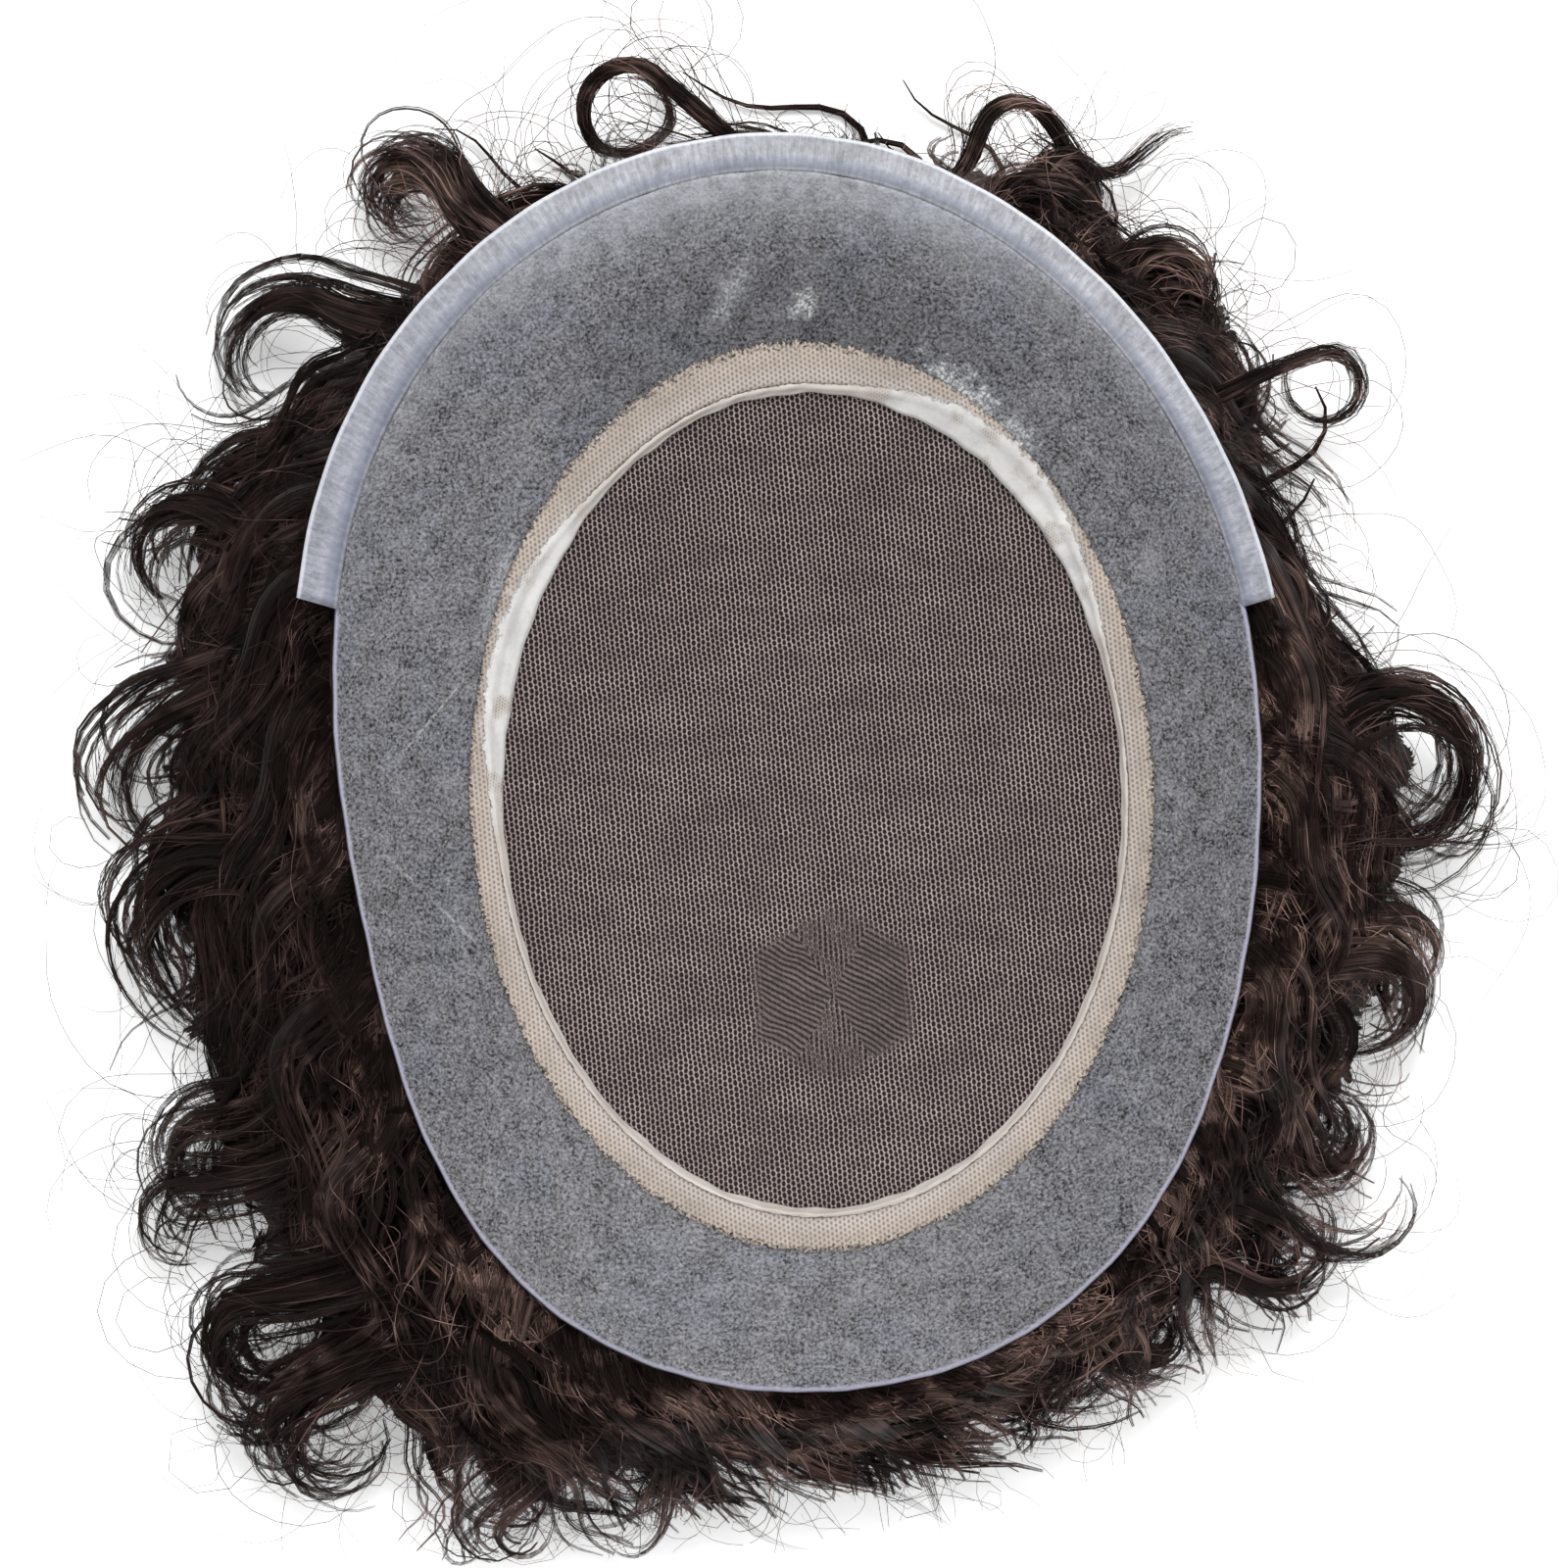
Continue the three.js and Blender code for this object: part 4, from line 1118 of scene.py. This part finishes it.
def hair_finish(name, streaks, roughness, bends=0.0):
    """Dark brown hair: tint picks from dark to brown, with painted shade and painted highlight in
    patches, painted shade at the roots, darker towards the left, a painted highlight towards the back,
    browner tips, and streaks run along the piece's own UV map, pushed sideways by the bends.
    Where the open value is over the streaks' noise the piece is open, so that it reads as many hairs."""
    look = finishes()
    finish, tree, shader, place = new_finish(name, roughness, 0.09)
    shader.inputs["Specular Tint"].default_value = (1.0, 0.76, 0.66, 1.0)
    tint = vertex_value(tree, "tint")
    along = vertex_value(tree, "along")
    # Painted shade and painted highlight: noise patches darken the gaps between locks and lighten lit
    # hair.
    patch = noise_at(tree, place, 85.0, 2.0, 0.6)
    region = noise_at(tree, place, 18.0, 1.0)
    lit = times(tree, map_range(tree, patch, 0.42, 0.62, 0.08, 1.2), map_range(
        tree, region, 0.40, 0.60, 0.65, 1.35))
    parts = add_node(tree, "ShaderNodeSeparateXYZ")
    tree.links.new(place, parts.inputs[0])
    lit = times(tree, lit, map_range(tree, parts.outputs[0], -0.115, -0.045, 0.35, 1.0))
    # Painted highlight: lighter towards the back.
    lit = times(tree, lit, map_range(tree, parts.outputs[1], -0.135, -0.05, 1.5, 1.0))
    # Painted shade: darker at the roots, in the shadow under the rim.
    lit = times(tree, lit, map_range(tree, along, 0.0, 0.4, 0.35, 1.1))
    mix = plus(
        tree, times(tree, tint, lit), times(tree, along, 0.12), clamp=True)
    colour = blend_colours(tree, mix, look.hair_dark, look.hair_brown)
    if streaks:
        uv = tree.nodes.new("ShaderNodeUVMap").outputs[0]
        bend = noise_at(tree, place, 34.0, 1.0)
        push = tree.nodes.new("ShaderNodeCombineXYZ")
        tree.links.new(maths(tree, "MULTIPLY_ADD", bend, bends, -bends / 2), push.inputs[0])
        bent = add_node(tree, "ShaderNodeVectorMath", operation="ADD")
        tree.links.new(uv, bent.inputs[0])
        tree.links.new(push.outputs[0], bent.inputs[1])
        stretch = add_node(tree, "ShaderNodeMapping", {"Scale": (1.0, 0.035, 1.0)})
        tree.links.new(bent.outputs[0], stretch.inputs[0])
        noise = noise_at(tree, stretch.outputs[0], 5.0, 3.0, 0.7)
        lines = map_range(tree, noise, 0.40, 0.62)
        colour = blend_colours(tree, lines, (0.002, 0.0015, 0.001), colour)
        add_bump(tree, shader, lines, 0.0003, 0.8)
        open_lines = minus(tree, noise, vertex_value(tree, "open"))
        tree.links.new(map_range(tree, open_lines, -0.01, 0.03), shader.inputs["Alpha"])
    tree.links.new(colour, shader.inputs["Base Color"])
    return finish


def on_base(x, y):
    """Plan point so many millimetres right and forward of the middle of the base."""
    return (CENTRE[0] + x / 1000, CENTRE[1] + y / 1000, 0.0)


def dress(piece, node, finish):
    """Seats a new piece in the model: its body, the solid it stands for and its material."""
    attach(piece, "root")
    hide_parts(node)
    piece.data.materials.append(finish)
    return piece


def spaced(low, high, count):
    return np.linspace(low, high, count)


def ring_turns(count):
    return np.arange(count) * TURN / count


def sheet_wall(turns, shares, outs, high, low):
    """Top and bottom rows of a wall between two drops from the cup, one section per turn."""
    turn = turns[:, None]
    return sheet_face(turn, shares, outs, high), sheet_face(turn, shares, outs, low)


def coat_width(turn):
    """Width of the seam coat: a plain width, with a raised cosine added over each smeared stretch."""
    degrees = np.mod(np.degrees(turn), 360)
    width = np.full_like(degrees, COAT_WIDTH)
    for middle, spread, share in COAT_SWELLS:
        away = np.minimum(1, np.abs(degrees - middle) / spread)
        width += share * COAT_SMEAR * (0.5 + 0.5 * np.cos(np.pi * away))
    return width


def both_faces(values):
    """Values of a wall's top row, repeated in the order of its closed section."""
    return np.concatenate([values, values[:, ::-1]], axis=1)


def ragged(rng, turn, least, waves):
    """A sum of sines round the ring with random phases, for an edge that isn't cut clean."""
    total = np.zeros_like(turn)
    for wave in waves:
        total += np.sin(wave * turn + rng.uniform(0, TURN)) / len(waves)
    return least * total


class TOUPEE_OT_net(bpy.types.Operator):
    """Net in the middle of the base: one dished disc of fine six-sided mesh"""

    bl_idname = "toupee.net"
    bl_label = "Net"

    def execute(self, context):
        piece = dished_disc("net", ring_turns(128), spaced(0.02, NET_EDGE - 0.002, 40), sizes().sheet)
        dress(piece, "lace_centre", net_finish())
        return {"FINISHED"}


class TOUPEE_OT_skin(bpy.types.Operator):
    """Skin round the net: a ring of film from the net's edge to the rim"""

    bl_idname = "toupee.skin"
    bl_label = "Skin perimeter"

    def execute(self, context):
        rng = np.random.default_rng(SEED)
        turns = ring_turns(240)
        inner, count = NET_EDGE + 0.0025, 26
        share = spaced(0, 1, count)[None, :] ** 0.9
        cut = ragged(rng, turns, 0.00025, (7, 13, 29, 61))[:, None] * share ** 6
        top, bottom = sheet_wall(turns, inner + (1 - inner) * share, cut, 0.0, sizes().sheet)
        ripple = 0.00012 * np.sin(9 * turns[:, None] + 6 * share) * share
        top[..., 2] += ripple
        bottom[..., 2] += ripple
        piece = wall_ring("skin_film", turns, top, bottom)
        front = np.exp(-((np.mod(np.degrees(turns), 360) - 92) / 34) ** 4)[:, None]
        flat = np.broadcast_to(share, (len(turns), count))
        degrees = np.mod(np.degrees(turns), 360)
        bare = 1.0 - ((degrees > LIP_ANGLES[0]) & (degrees < LIP_ANGLES[1]))[:, None]
        point_value(piece, "edge", both_faces(smoothstep(flat, 0.975, 1.0) * bare))
        point_value(piece, "shade", both_faces(front * (1 - smoothstep(flat, 0.35, 0.75))))
        near_lip = np.exp(-((degrees - 90) / 66) ** 6)[:, None] * smoothstep(flat, 0.74, 1.0) * 0.30
        point_value(piece, "haze", both_faces(front * smoothstep(flat, 0.55, 0.95) * 0.40 + near_lip))
        dress(piece, "skin_perimeter", skin_finish())
        return {"FINISHED"}


class TOUPEE_OT_lip(bpy.types.Operator):
    """Clear lip along the front edge: a strip of frosted film outside the rim, folded at its root"""

    bl_idname = "toupee.lip"
    bl_label = "Front lip"

    def execute(self, context):
        size = sizes()
        rng = np.random.default_rng(SEED + 1)
        turns = np.radians(spaced(*LIP_ANGLES, 150))
        share = spaced(0, 1, 16)[None, :]
        side = (0.5 + 0.5 * np.cos(turns))[:, None]
        width = size.lip_width * (1 - side) + size.lip_right_width * side
        width = width + ragged(rng, turns, 0.00015, (11, 23, 47))[:, None]
        out = 0.00005 + (width - 0.00005) * share
        top, bottom = sheet_wall(turns, 1.0, out, 0.0, size.sheet)
        fold = 0.0004 * np.exp(-((share - 0.22) / 0.16) ** 2)
        top[..., 2] += fold
        piece = wall_strip("lip_film", top, bottom)
        across = np.broadcast_to(share, (len(turns), share.shape[1]))
        left = smoothstep(np.degrees(turns), 105, 150)[:, None]
        right = 1 - smoothstep(np.degrees(turns), 22, 50)[:, None]
        shade = np.maximum(left * 0.8, right * 0.6) * np.ones_like(across)
        point_value(piece, "across", both_faces(across))
        point_value(piece, "shade", both_faces(shade))
        place = np.stack([np.broadcast_to(turns[:, None] * 12, across.shape), across], -1)
        loop_uv(piece, both_faces(place).reshape(-1, 2))
        dress(piece, "front_lip", lip_finish())
        return {"FINISHED"}


class TOUPEE_OT_binding(bpy.types.Operator):
    """Net tape over the joint of net and skin, and the cured coat along its inner edge"""

    bl_idname = "toupee.binding"
    bl_label = "Binding and seam coat"

    def execute(self, context):
        size = sizes()
        rng = np.random.default_rng(SEED + 2)
        turns = ring_turns(300)
        mean = (size.half_width + size.half_length) / 2
        ends = NET_OPENING + coat_width(turns) / size.half_width
        share = spaced(0, 1, 9)[None, :]
        inner = (ends + 0.00005 / mean)[:, None]
        front = 0.5 + 0.5 * np.cos(np.clip((np.degrees(turns) - 112) / 78, -1, 1) * np.pi)
        outer = (BINDING_OUTER + ragged(rng, turns, 0.0014, (9, 17, 41)) + 0.0018 / mean * front)[:, None]
        dip = 0.00065 * smoothstep(share, 0.55, 1.0)
        top, bottom = sheet_wall(
            turns, inner + (outer - inner) * share, 0.0, dip - size.lift, dip + 0.0005 - size.lift)
        pucker = 0.00018 * np.sin(90 * turns[:, None] + 3 * np.sin(7 * turns[:, None])) * share ** 2
        top[..., 2] += pucker
        tape = wall_ring("net_binding_tape", turns, top, bottom)
        across = np.broadcast_to(share, (len(turns), share.shape[1]))
        point_value(tape, "across", both_faces(across))
        swell = ((coat_width(turns) - COAT_WIDTH) / COAT_SMEAR)[:, None]
        point_value(tape, "coated", both_faces(swell * (1.15 - 0.9 * across)))
        dress(tape, "net_binding", binding_finish())
        start = np.full_like(turns, NET_OPENING) + ragged(rng, turns, 0.003, (15, 31, 53))
        lap = 0.0005 + 0.0026 * swell[:, 0]
        coat_share = start[:, None] + (ends + lap / mean - start)[:, None] * share
        crown = 0.0004 * np.sin(np.pi * share) + 0.0002 * np.sin(
            40 * turns[:, None] + 5 * share + 4 * np.sin(11 * turns[:, None]))
        over = 0.00052 * smoothstep(coat_share, (ends - 0.0012 / mean)[:, None], ends[:, None])
        coat_top, coat_bottom = sheet_wall(
            turns, coat_share, 0.0, 0.0003 - over - size.lift, 0.0004 - over - size.lift)
        coat_top[..., 2] += crown * np.sin(np.pi * share) ** 0.5
        coat = wall_ring("seam_coating", turns, coat_top, coat_bottom)
        lapped = smoothstep(coat_share, ends[:, None], (ends + lap / mean)[:, None])
        point_value(coat, "lap", both_faces(lapped))
        narrow = np.broadcast_to(1 - smoothstep(swell, 0.0, 0.45), (len(turns), share.shape[1]))
        point_value(coat, "narrow", both_faces(narrow))
        dress(coat, "seam_coat", coat_finish())
        return {"FINISHED"}


def loop_uv(piece, uv):
    """Gives each corner of the mesh the pattern place of its vertex."""
    mesh = piece.data
    corner = np.empty(len(mesh.loops), dtype=np.int32)
    mesh.loops.foreach_get("vertex_index", corner)
    layer = mesh.uv_layers.new(name="pattern")
    layer.data.foreach_set("uv", np.ascontiguousarray(uv[corner], dtype=np.float32).ravel())


def hair_values(piece, tint, stations, sides, uv_across=None, streaks=1.0, opening=(0.0, 0.0)):
    """Tint per hair and share of the length per ring of a set of tubes, a UV map across and along, and
    how open the tubes are at root and tip."""
    count = len(tint)
    along = np.broadcast_to(spaced(0, 1, stations)[None, :, None], (count, stations, sides))
    point_value(piece, "tint", np.repeat(tint, stations * sides))
    point_value(piece, "along", along)
    if uv_across is not None:
        side = np.cos(TURN * (np.arange(sides) + 0.5) / sides) * 0.5
        streaks = np.broadcast_to(streaks, count)[:, None, None]
        u = np.broadcast_to(side[None, None, :], along.shape) * streaks + uv_across[:, None, None]
        loop_uv(piece, np.stack([u.ravel(), (along * 8 + uv_across[:, None, None]).ravel()], -1))
        least, most = opening
        point_value(piece, "open", least + (most - least) * along)


def tapered(radius, along, tip, power):
    """Radius along a tube: full at the root, narrowing to tip times as much along a power curve."""
    return radius[:, None] * (1 - (1 - tip) * along[None, :] ** power)


class TOUPEE_OT_hair_body(bpy.types.Operator):
    """Dense body of hair: the roots under the net, and a bed in four quarters out past the rim"""

    bl_idname = "toupee.hair_body"
    bl_label = "Hair body"

    def execute(self, context):
        finish = hair_finish("Hair, dense body", True, 0.5, bends=3.6)
        rng = np.random.default_rng(SEED + 5)
        drop = 0.0022
        turns = ring_turns(96)
        crown = dished_disc("hair_crown_under", turns, spaced(0.02, 0.665, 24), 0.0)
        mesh = crown.data
        places = np.empty(len(mesh.vertices) * 3, dtype=np.float32)
        mesh.vertices.foreach_get("co", places)
        places = places.reshape(-1, 3)
        rows = places[:-2].reshape(len(turns), -1, 3)
        half = rows.shape[1] // 2
        wave = 0.0012 * np.sin(24 * turns)[:, None]
        rows[:, :half, 2] -= drop
        rows[:, half:, 2] = 0.0035 + wave * spaced(1, 0.2, half)[None, :]
        rows[:, half, 2] = 0.0045
        places[:-2] = rows.reshape(-1, 3)
        places[-2, 2] -= drop
        places[-1, 2] = 0.0035
        mesh.vertices.foreach_set("co", places.ravel())
        mesh.update()
        point_value(crown, "tint", np.full(len(places), 0.25))
        point_value(crown, "along", np.full(len(places), 0.2))
        angle = np.repeat(turns / TURN * 40, rows.shape[1])
        level = np.tile(np.concatenate([spaced(0, 4, half), spaced(4, 0, half)]), len(turns))
        loop_uv(crown, np.concatenate([np.stack([angle, level], -1), np.zeros((2, 2))]))
        dress(crown, "hair_crown", finish)
        for node, (low, high) in QUARTERS.items():
            turns = np.radians(spaced(low, high, 91))
            shares = spaced(0.675, 0.995, 10)[None, :]
            inside = sheet_face(turns[:, None], shares, 0.0, drop)
            out, _ = rim_step(turns)
            reach = (hair_reach(turns) * hair_sizes().bed_share - rim_swell(turns))[:, None]
            reach -= 0.0058 * np.exp(-((np.degrees(turns) - 88) / 54) ** 6)[:, None]
            jag = rng.uniform(-0.02, 0.02, len(turns)) + 0.035 * (
                np.sin(37 * turns) + np.sin(53 * turns + 1.0) + np.sin(83 * turns + 2.0))
            comb = 1 + jag[:, None] * np.sin(np.pi / 2 * spaced(0, 1, len(BED_PROFILE) - 1))[None, :]
            rim = inside[:, -1:, :]
            step = BED_PROFILE[1:, 0][None, :]
            outer = np.repeat(rim, step.shape[1], axis=1)
            outer[..., :2] += out[:, None, :] * (reach * step * comb)[..., None]
            outer[..., 2] = rim[..., 2] * BED_PROFILE[1:, 1][None, :] * 0.82
            edge = outer[:, -1:, :].copy()
            edge[..., 2] = 0.004
            top = np.concatenate([inside, outer, edge], axis=1)
            bottom = np.concatenate(
                [inside[:, :1], inside[:, 4:5], rim, rim * 0.5 + edge * 0.5, edge], axis=1)
            bottom[..., 2] = 0.0025
            piece = wall_strip(node + "_body", top, bottom)
            count = top.shape[1] + bottom.shape[1]
            u = np.repeat(turns * 14, count)
            v = np.tile(
                np.concatenate([spaced(0, 8, top.shape[1]), spaced(8, 0, bottom.shape[1])]), len(turns))
            loop_uv(piece, np.stack([u, v], -1))
            # Painted shade: the dense body's tint is near the darkest, for the shaded depth under the
            # locks.
            point_value(piece, "tint", 0.06 + 0.05 * np.sin(u * 3.1))
            point_value(piece, "along", v / 8 * 0.6)
            point_value(piece, "open", 0.62 * smoothstep(v, 5.2, 8.0))
            dress(piece, node, finish)
        return {"FINISHED"}


class TOUPEE_OT_locks(bpy.types.Operator):
    """Cores of the listed locks: flattened tubes that taper along their curls, one piece a quarter"""

    bl_idname = "toupee.locks"
    bl_label = "Lock cores"

    def execute(self, context):
        finish = hair_finish("Hair, locks", True, 0.4)
        stations, sides = 34, 10
        along = spaced(0, 1, stations)
        for index, node in enumerate(QUARTERS):
            rng = np.random.default_rng(SEED + 30 + index)
            rows = quarter_rows(node)
            lock = lock_values(rng, rows, np.arange(len(rows)), 0.0, 0.0, 0.0)
            lock = frizz(rng, hang(lock, lock["half"] * 0.3), len(rows), 0, 1)
            paths = near_paths(lock, stations)
            narrow = 1 - lock["narrowing"][:, None] * along[None, :]
            rings = lock["half"][:, None] * 0.62 * narrow * (1 - 0.95 * along[None, :] ** 3)
            piece = tubes(node + "_locks", paths, rings, sides, 0.6)
            # Painted shade: the cores' low tint stands for the shaded inside of each lock.
            hair_values(
                piece, np.full(len(rows), 0.14), stations, sides,
                rng.uniform(0, 40, len(rows)), 4.0, CORE_OPENING)
            dress(piece, node, finish)
        return {"FINISHED"}


class TOUPEE_OT_wisps(bpy.types.Operator):
    """Flat wisps: bundles of hair that follow the locks, one piece for each quarter"""

    bl_idname = "toupee.wisps"
    bl_label = "Wisps"

    def execute(self, context):
        finish = hair_finish("Hair, wisps", True, 0.36)
        sides = 4
        for index, node in enumerate(QUARTERS):
            rng = np.random.default_rng(SEED + 10 + index)
            count = hair_sizes().wisps
            lock = pick_locks(rng, node, count, 0.5, 0.8)
            lock["cut"] = rng.uniform(0.62, 1.0, count)
            lock["breadth"] = np.minimum(rng.uniform(0.0006, 0.0017, count), 0.3 * lock["half"])
            lock["place"] = rng.uniform(0, 40, count)
            lock = frizz(rng, hang(lock, lock["breadth"] * 0.2), count, 2, 9)
            for name, part, stations in sorted_by_bend(lock):
                along = spaced(0, 1, stations)
                paths = near_paths(part, stations)
                rings = tapered(part["breadth"], along, 0.3, 2.0)
                rings = rings * (0.35 + 0.65 * smoothstep(along, 0.0, 0.2))
                piece = tubes(f"{node}_wisps_{name}", paths, rings, sides, 0.2)
                hair_values(
                    piece, part["tint"], stations, sides, part["place"],
                    part["breadth"] / WISP_STREAK, WISP_OPENING)
                dress(piece, node, finish)
        return {"FINISHED"}


class TOUPEE_OT_underside(bpy.types.Operator):
    """Wisps under the crown: they wind outwards from the middle just above the table"""

    bl_idname = "toupee.underside"
    bl_label = "Underside wisps"

    def execute(self, context):
        size, count = sizes(), hair_sizes().under_wisps
        rng = np.random.default_rng(SEED + 40)
        stations, sides = 16, 4
        along = spaced(0, 1, stations)[None, :]
        turn = rng.uniform(0, TURN, count)[:, None]
        level = np.sqrt(rng.uniform(0.0, 0.75, count))[:, None]
        heading = turn + 0.5 + 0.7 * np.sin(TURN * (1.4 * along + level * 2) + 3 * turn) + (
            rng.uniform(0.6, 2.4, count)[:, None] * along ** 2)
        step = rng.uniform(0.045, 0.075, count)[:, None] / (stations - 1)
        x = CENTRE[0] + size.half_width * level * np.cos(turn) + np.cumsum(np.cos(heading) * step, axis=1)
        y = (CENTRE[1] + size.half_length * level * np.sin(turn)
             + np.cumsum(np.sin(heading) * step, axis=1))
        z = 0.0024 - 0.0014 * np.sin(np.pi * along) * rng.uniform(0.2, 1.0, count)[:, None]
        radius = rng.uniform(0.0006, 0.0018, count)
        rings = tapered(radius, along[0], 0.15, 2.0)
        paths = np.stack(np.broadcast_arrays(x, y, z), -1)
        piece = tubes("hair_underside_wisps", paths, rings, sides, 0.3)
        hair_values(piece, rng.uniform(0.1, 0.8, count), stations, sides, rng.uniform(0, 40, count))
        dress(piece, "hair_crown", hair_finish("Hair, underside", True, 0.4))
        return {"FINISHED"}


class TOUPEE_OT_strands(bpy.types.Operator):
    """Single strands over the wisps, in locks and between them, one piece for each quarter"""

    bl_idname = "toupee.strands"
    bl_label = "Strands"

    def execute(self, context):
        finish = hair_finish("Hair, strands", False, 0.34)
        sides = 3
        for index, node in enumerate(QUARTERS):
            rng = np.random.default_rng(SEED + 20 + index)
            count = hair_sizes().strands
            lock = pick_locks(rng, node, count, 0.5, 0.9)
            lock["cut"] = rng.uniform(0.7, 1.02, count)
            width = hair_sizes().strand_width / 2
            lock["breadth"] = width * rng.uniform(0.7, 1.25, count)
            lock = frizz(rng, hang(lock, lock["breadth"]), count, 2, 8)
            for name, part, stations in sorted_by_bend(lock):
                paths = near_paths(part, stations)
                rings = tapered(part["breadth"], spaced(0, 1, stations), 0.4, 2.5)
                piece = tubes(f"{node}_strands_{name}", paths, rings, sides)
                # Lighter tint than the locks: partly the hair's own colour, partly painted highlight on
                # the top hairs.
                hair_values(piece, np.clip(part["tint"] + 0.15, 0, 1), stations, sides)
                dress(piece, node, finish)
        return {"FINISHED"}


class TOUPEE_OT_flyaways(bpy.types.Operator):
    """Flyaways: loose single hairs that curl out between the locks and past the edge of the hair"""

    bl_idname = "toupee.flyaways"
    bl_label = "Flyaways"

    def execute(self, context):
        finish = hair_finish("Hair, flyaways", False, 0.34)
        stations, sides = 24, 3
        along = spaced(0, 1, stations)
        for index, node in enumerate(QUARTERS):
            rng = np.random.default_rng(SEED + 50 + index)
            count = hair_sizes().flyaways
            lock = pick_locks(rng, node, count, 0.65, 1.0)
            lock["length"] *= rng.uniform(0.8, 1.2, count)
            lock["limit"] += 0.3
            lock["lean"] += rng.normal(0, 16, count)
            lock["curl"] = np.where(
                rng.random(count) < 0.5, rng.uniform(-450, 450, count),
                lock["curl"] * rng.uniform(0.5, 1.6, count))
            lock["sway"] += rng.uniform(0, 25, count)
            lock["side"] *= rng.uniform(1.0, 1.8, count)
            lock["height"] += rng.uniform(-0.002, 0.004, count)
            width = hair_sizes().strand_width / 2
            lock = frizz(rng, hang(lock, np.full(count, width)), count, 3, 12)
            paths = near_paths(lock, stations)
            radius = width * rng.uniform(0.75, 1.25, count)
            piece = tubes(node + "_flyaways", paths, tapered(radius, along, 0.5, 2.5), sides)
            # Lighter tint: partly the hair's own colour, partly painted highlight.
            hair_values(piece, np.clip(lock["tint"] + 0.1, 0, 1), stations, sides)
            dress(piece, node, finish)
        return {"FINISHED"}


def lights(name, place, size, power, aim):
    """A square soft light at a place, turned towards a point."""
    lamp = bpy.data.lights.new(name, "AREA")
    lamp.shape, lamp.size, lamp.energy = "SQUARE", size, power
    holder = bpy.data.objects.new(name, lamp)
    holder.location = place
    way = np.array(aim) - np.array(place)
    holder.rotation_euler = Vector(way).to_track_quat("-Z", "Y").to_euler()
    bpy.context.collection.objects.link(holder)
    return holder


def slab(name, half, depth):
    """A square plate whose top face lies on the table's plane, its sides going down."""
    corner = np.array([(-half, -half), (half, -half), (half, half), (-half, half)])
    top = np.concatenate([corner, np.zeros((4, 1))], axis=1)
    ring = np.arange(4)
    walls = np.stack([ring + 4, (ring + 1) % 4 + 4, (ring + 1) % 4, ring], -1)
    loops = np.concatenate([ring, ring[::-1] + 4, walls.ravel()])
    return new_object(name, np.concatenate([top, top - (0, 0, depth)]), loops, np.full(6, 4), False)


class TOUPEE_OT_stage(bpy.types.Operator):
    """Pale floor, soft lights and the camera straight above"""

    bl_idname = "toupee.stage"
    bl_label = "Stage"

    def execute(self, context):
        floor = slab("floor", 1.6, 0.02)
        finish, tree, shader, place = new_finish("Pale floor", 0.9, 0.1)
        mottle = group(tree, "Speckle", {
            "Grains": 300.0, "Clouds": 4.0, "Grain depth": 0.01, "Cloud depth": 0.02}, place)
        white = brighten(tree, (0.93, 0.93, 0.93), mottle.outputs["Value"])
        tree.links.new(white, shader.inputs["Base Color"])
        shader.inputs["Emission Color"].default_value = (1, 1, 1, 1)
        shader.inputs["Emission Strength"].default_value = 0.3
        floor.data.materials.append(finish)
        aim = (0.0, 0.0, 0.03)
        lights("light_front", (0.15, 0.9, 1.3), 0.7, 18, aim)
        lights("light_left", (-1.2, -0.2, 1.2), 0.8, 7, aim)
        lights("light_right", (1.2, -0.5, 1.2), 0.8, 7, aim)
        world = bpy.data.worlds.new("studio")
        world.use_nodes = True
        world.node_tree.nodes["Background"].inputs["Color"].default_value = (1, 1, 1, 1)
        world.node_tree.nodes["Background"].inputs["Strength"].default_value = 0.5
        context.scene.world = world
        context.scene.view_settings.view_transform = "Standard"
        lens = bpy.data.cameras.new("camera")
        lens.sensor_width, lens.lens = 36.0, 165.8
        camera = bpy.data.objects.new("camera", lens)
        camera.location = (CENTRE[0] - 0.0019, CENTRE[1], 0.046 + 1.4)
        camera.rotation_euler = (0.0, 0.0, math.radians(-1.5))
        context.collection.objects.link(camera)
        context.scene.camera = camera
        return {"FINISHED"}


PIECES = [
    "net", "skin", "lip", "binding", "hair_body", "locks", "wisps", "strands", "flyaways", "underside",
    "stage",
]


class TOUPEE_PT_panel(bpy.types.Panel):
    """Toupee hairpiece"""

    bl_idname = "TOUPEE_PT_panel"
    bl_label = "Toupee hairpiece"
    bl_space_type = "VIEW_3D"
    bl_region_type = "UI"
    bl_category = "Toupee"

    def draw(self, context):
        for title, values in (("Base", sizes()), ("Hair", hair_sizes()), ("Finishes", finishes())):
            box = self.layout.box()
            box.label(text=title)
            for key in values.__annotations__:
                box.prop(values, key)
        for piece in PIECES:
            self.layout.operator("toupee." + piece)


CLASSES = [
    BaseSizes, HairSizes, Finishes, TOUPEE_OT_net, TOUPEE_OT_skin, TOUPEE_OT_lip, TOUPEE_OT_binding,
    TOUPEE_OT_hair_body, TOUPEE_OT_locks, TOUPEE_OT_wisps, TOUPEE_OT_strands, TOUPEE_OT_flyaways,
    TOUPEE_OT_underside, TOUPEE_OT_stage, TOUPEE_PT_panel,
]


def register():
    for entry in CLASSES:
        bpy.utils.register_class(entry)
    bpy.types.Scene.toupee_base = PointerProperty(type=BaseSizes)
    bpy.types.Scene.toupee_hair = PointerProperty(type=HairSizes)
    bpy.types.Scene.toupee_finishes = PointerProperty(type=Finishes)


def unregister():
    for name in ("toupee_base", "toupee_hair", "toupee_finishes"):
        delattr(bpy.types.Scene, name)
    for entry in reversed(CLASSES):
        bpy.utils.unregister_class(entry)


def main():
    register()
    for piece in PIECES:
        getattr(bpy.ops.toupee, piece)()


if __name__ == "__main__":
    main()
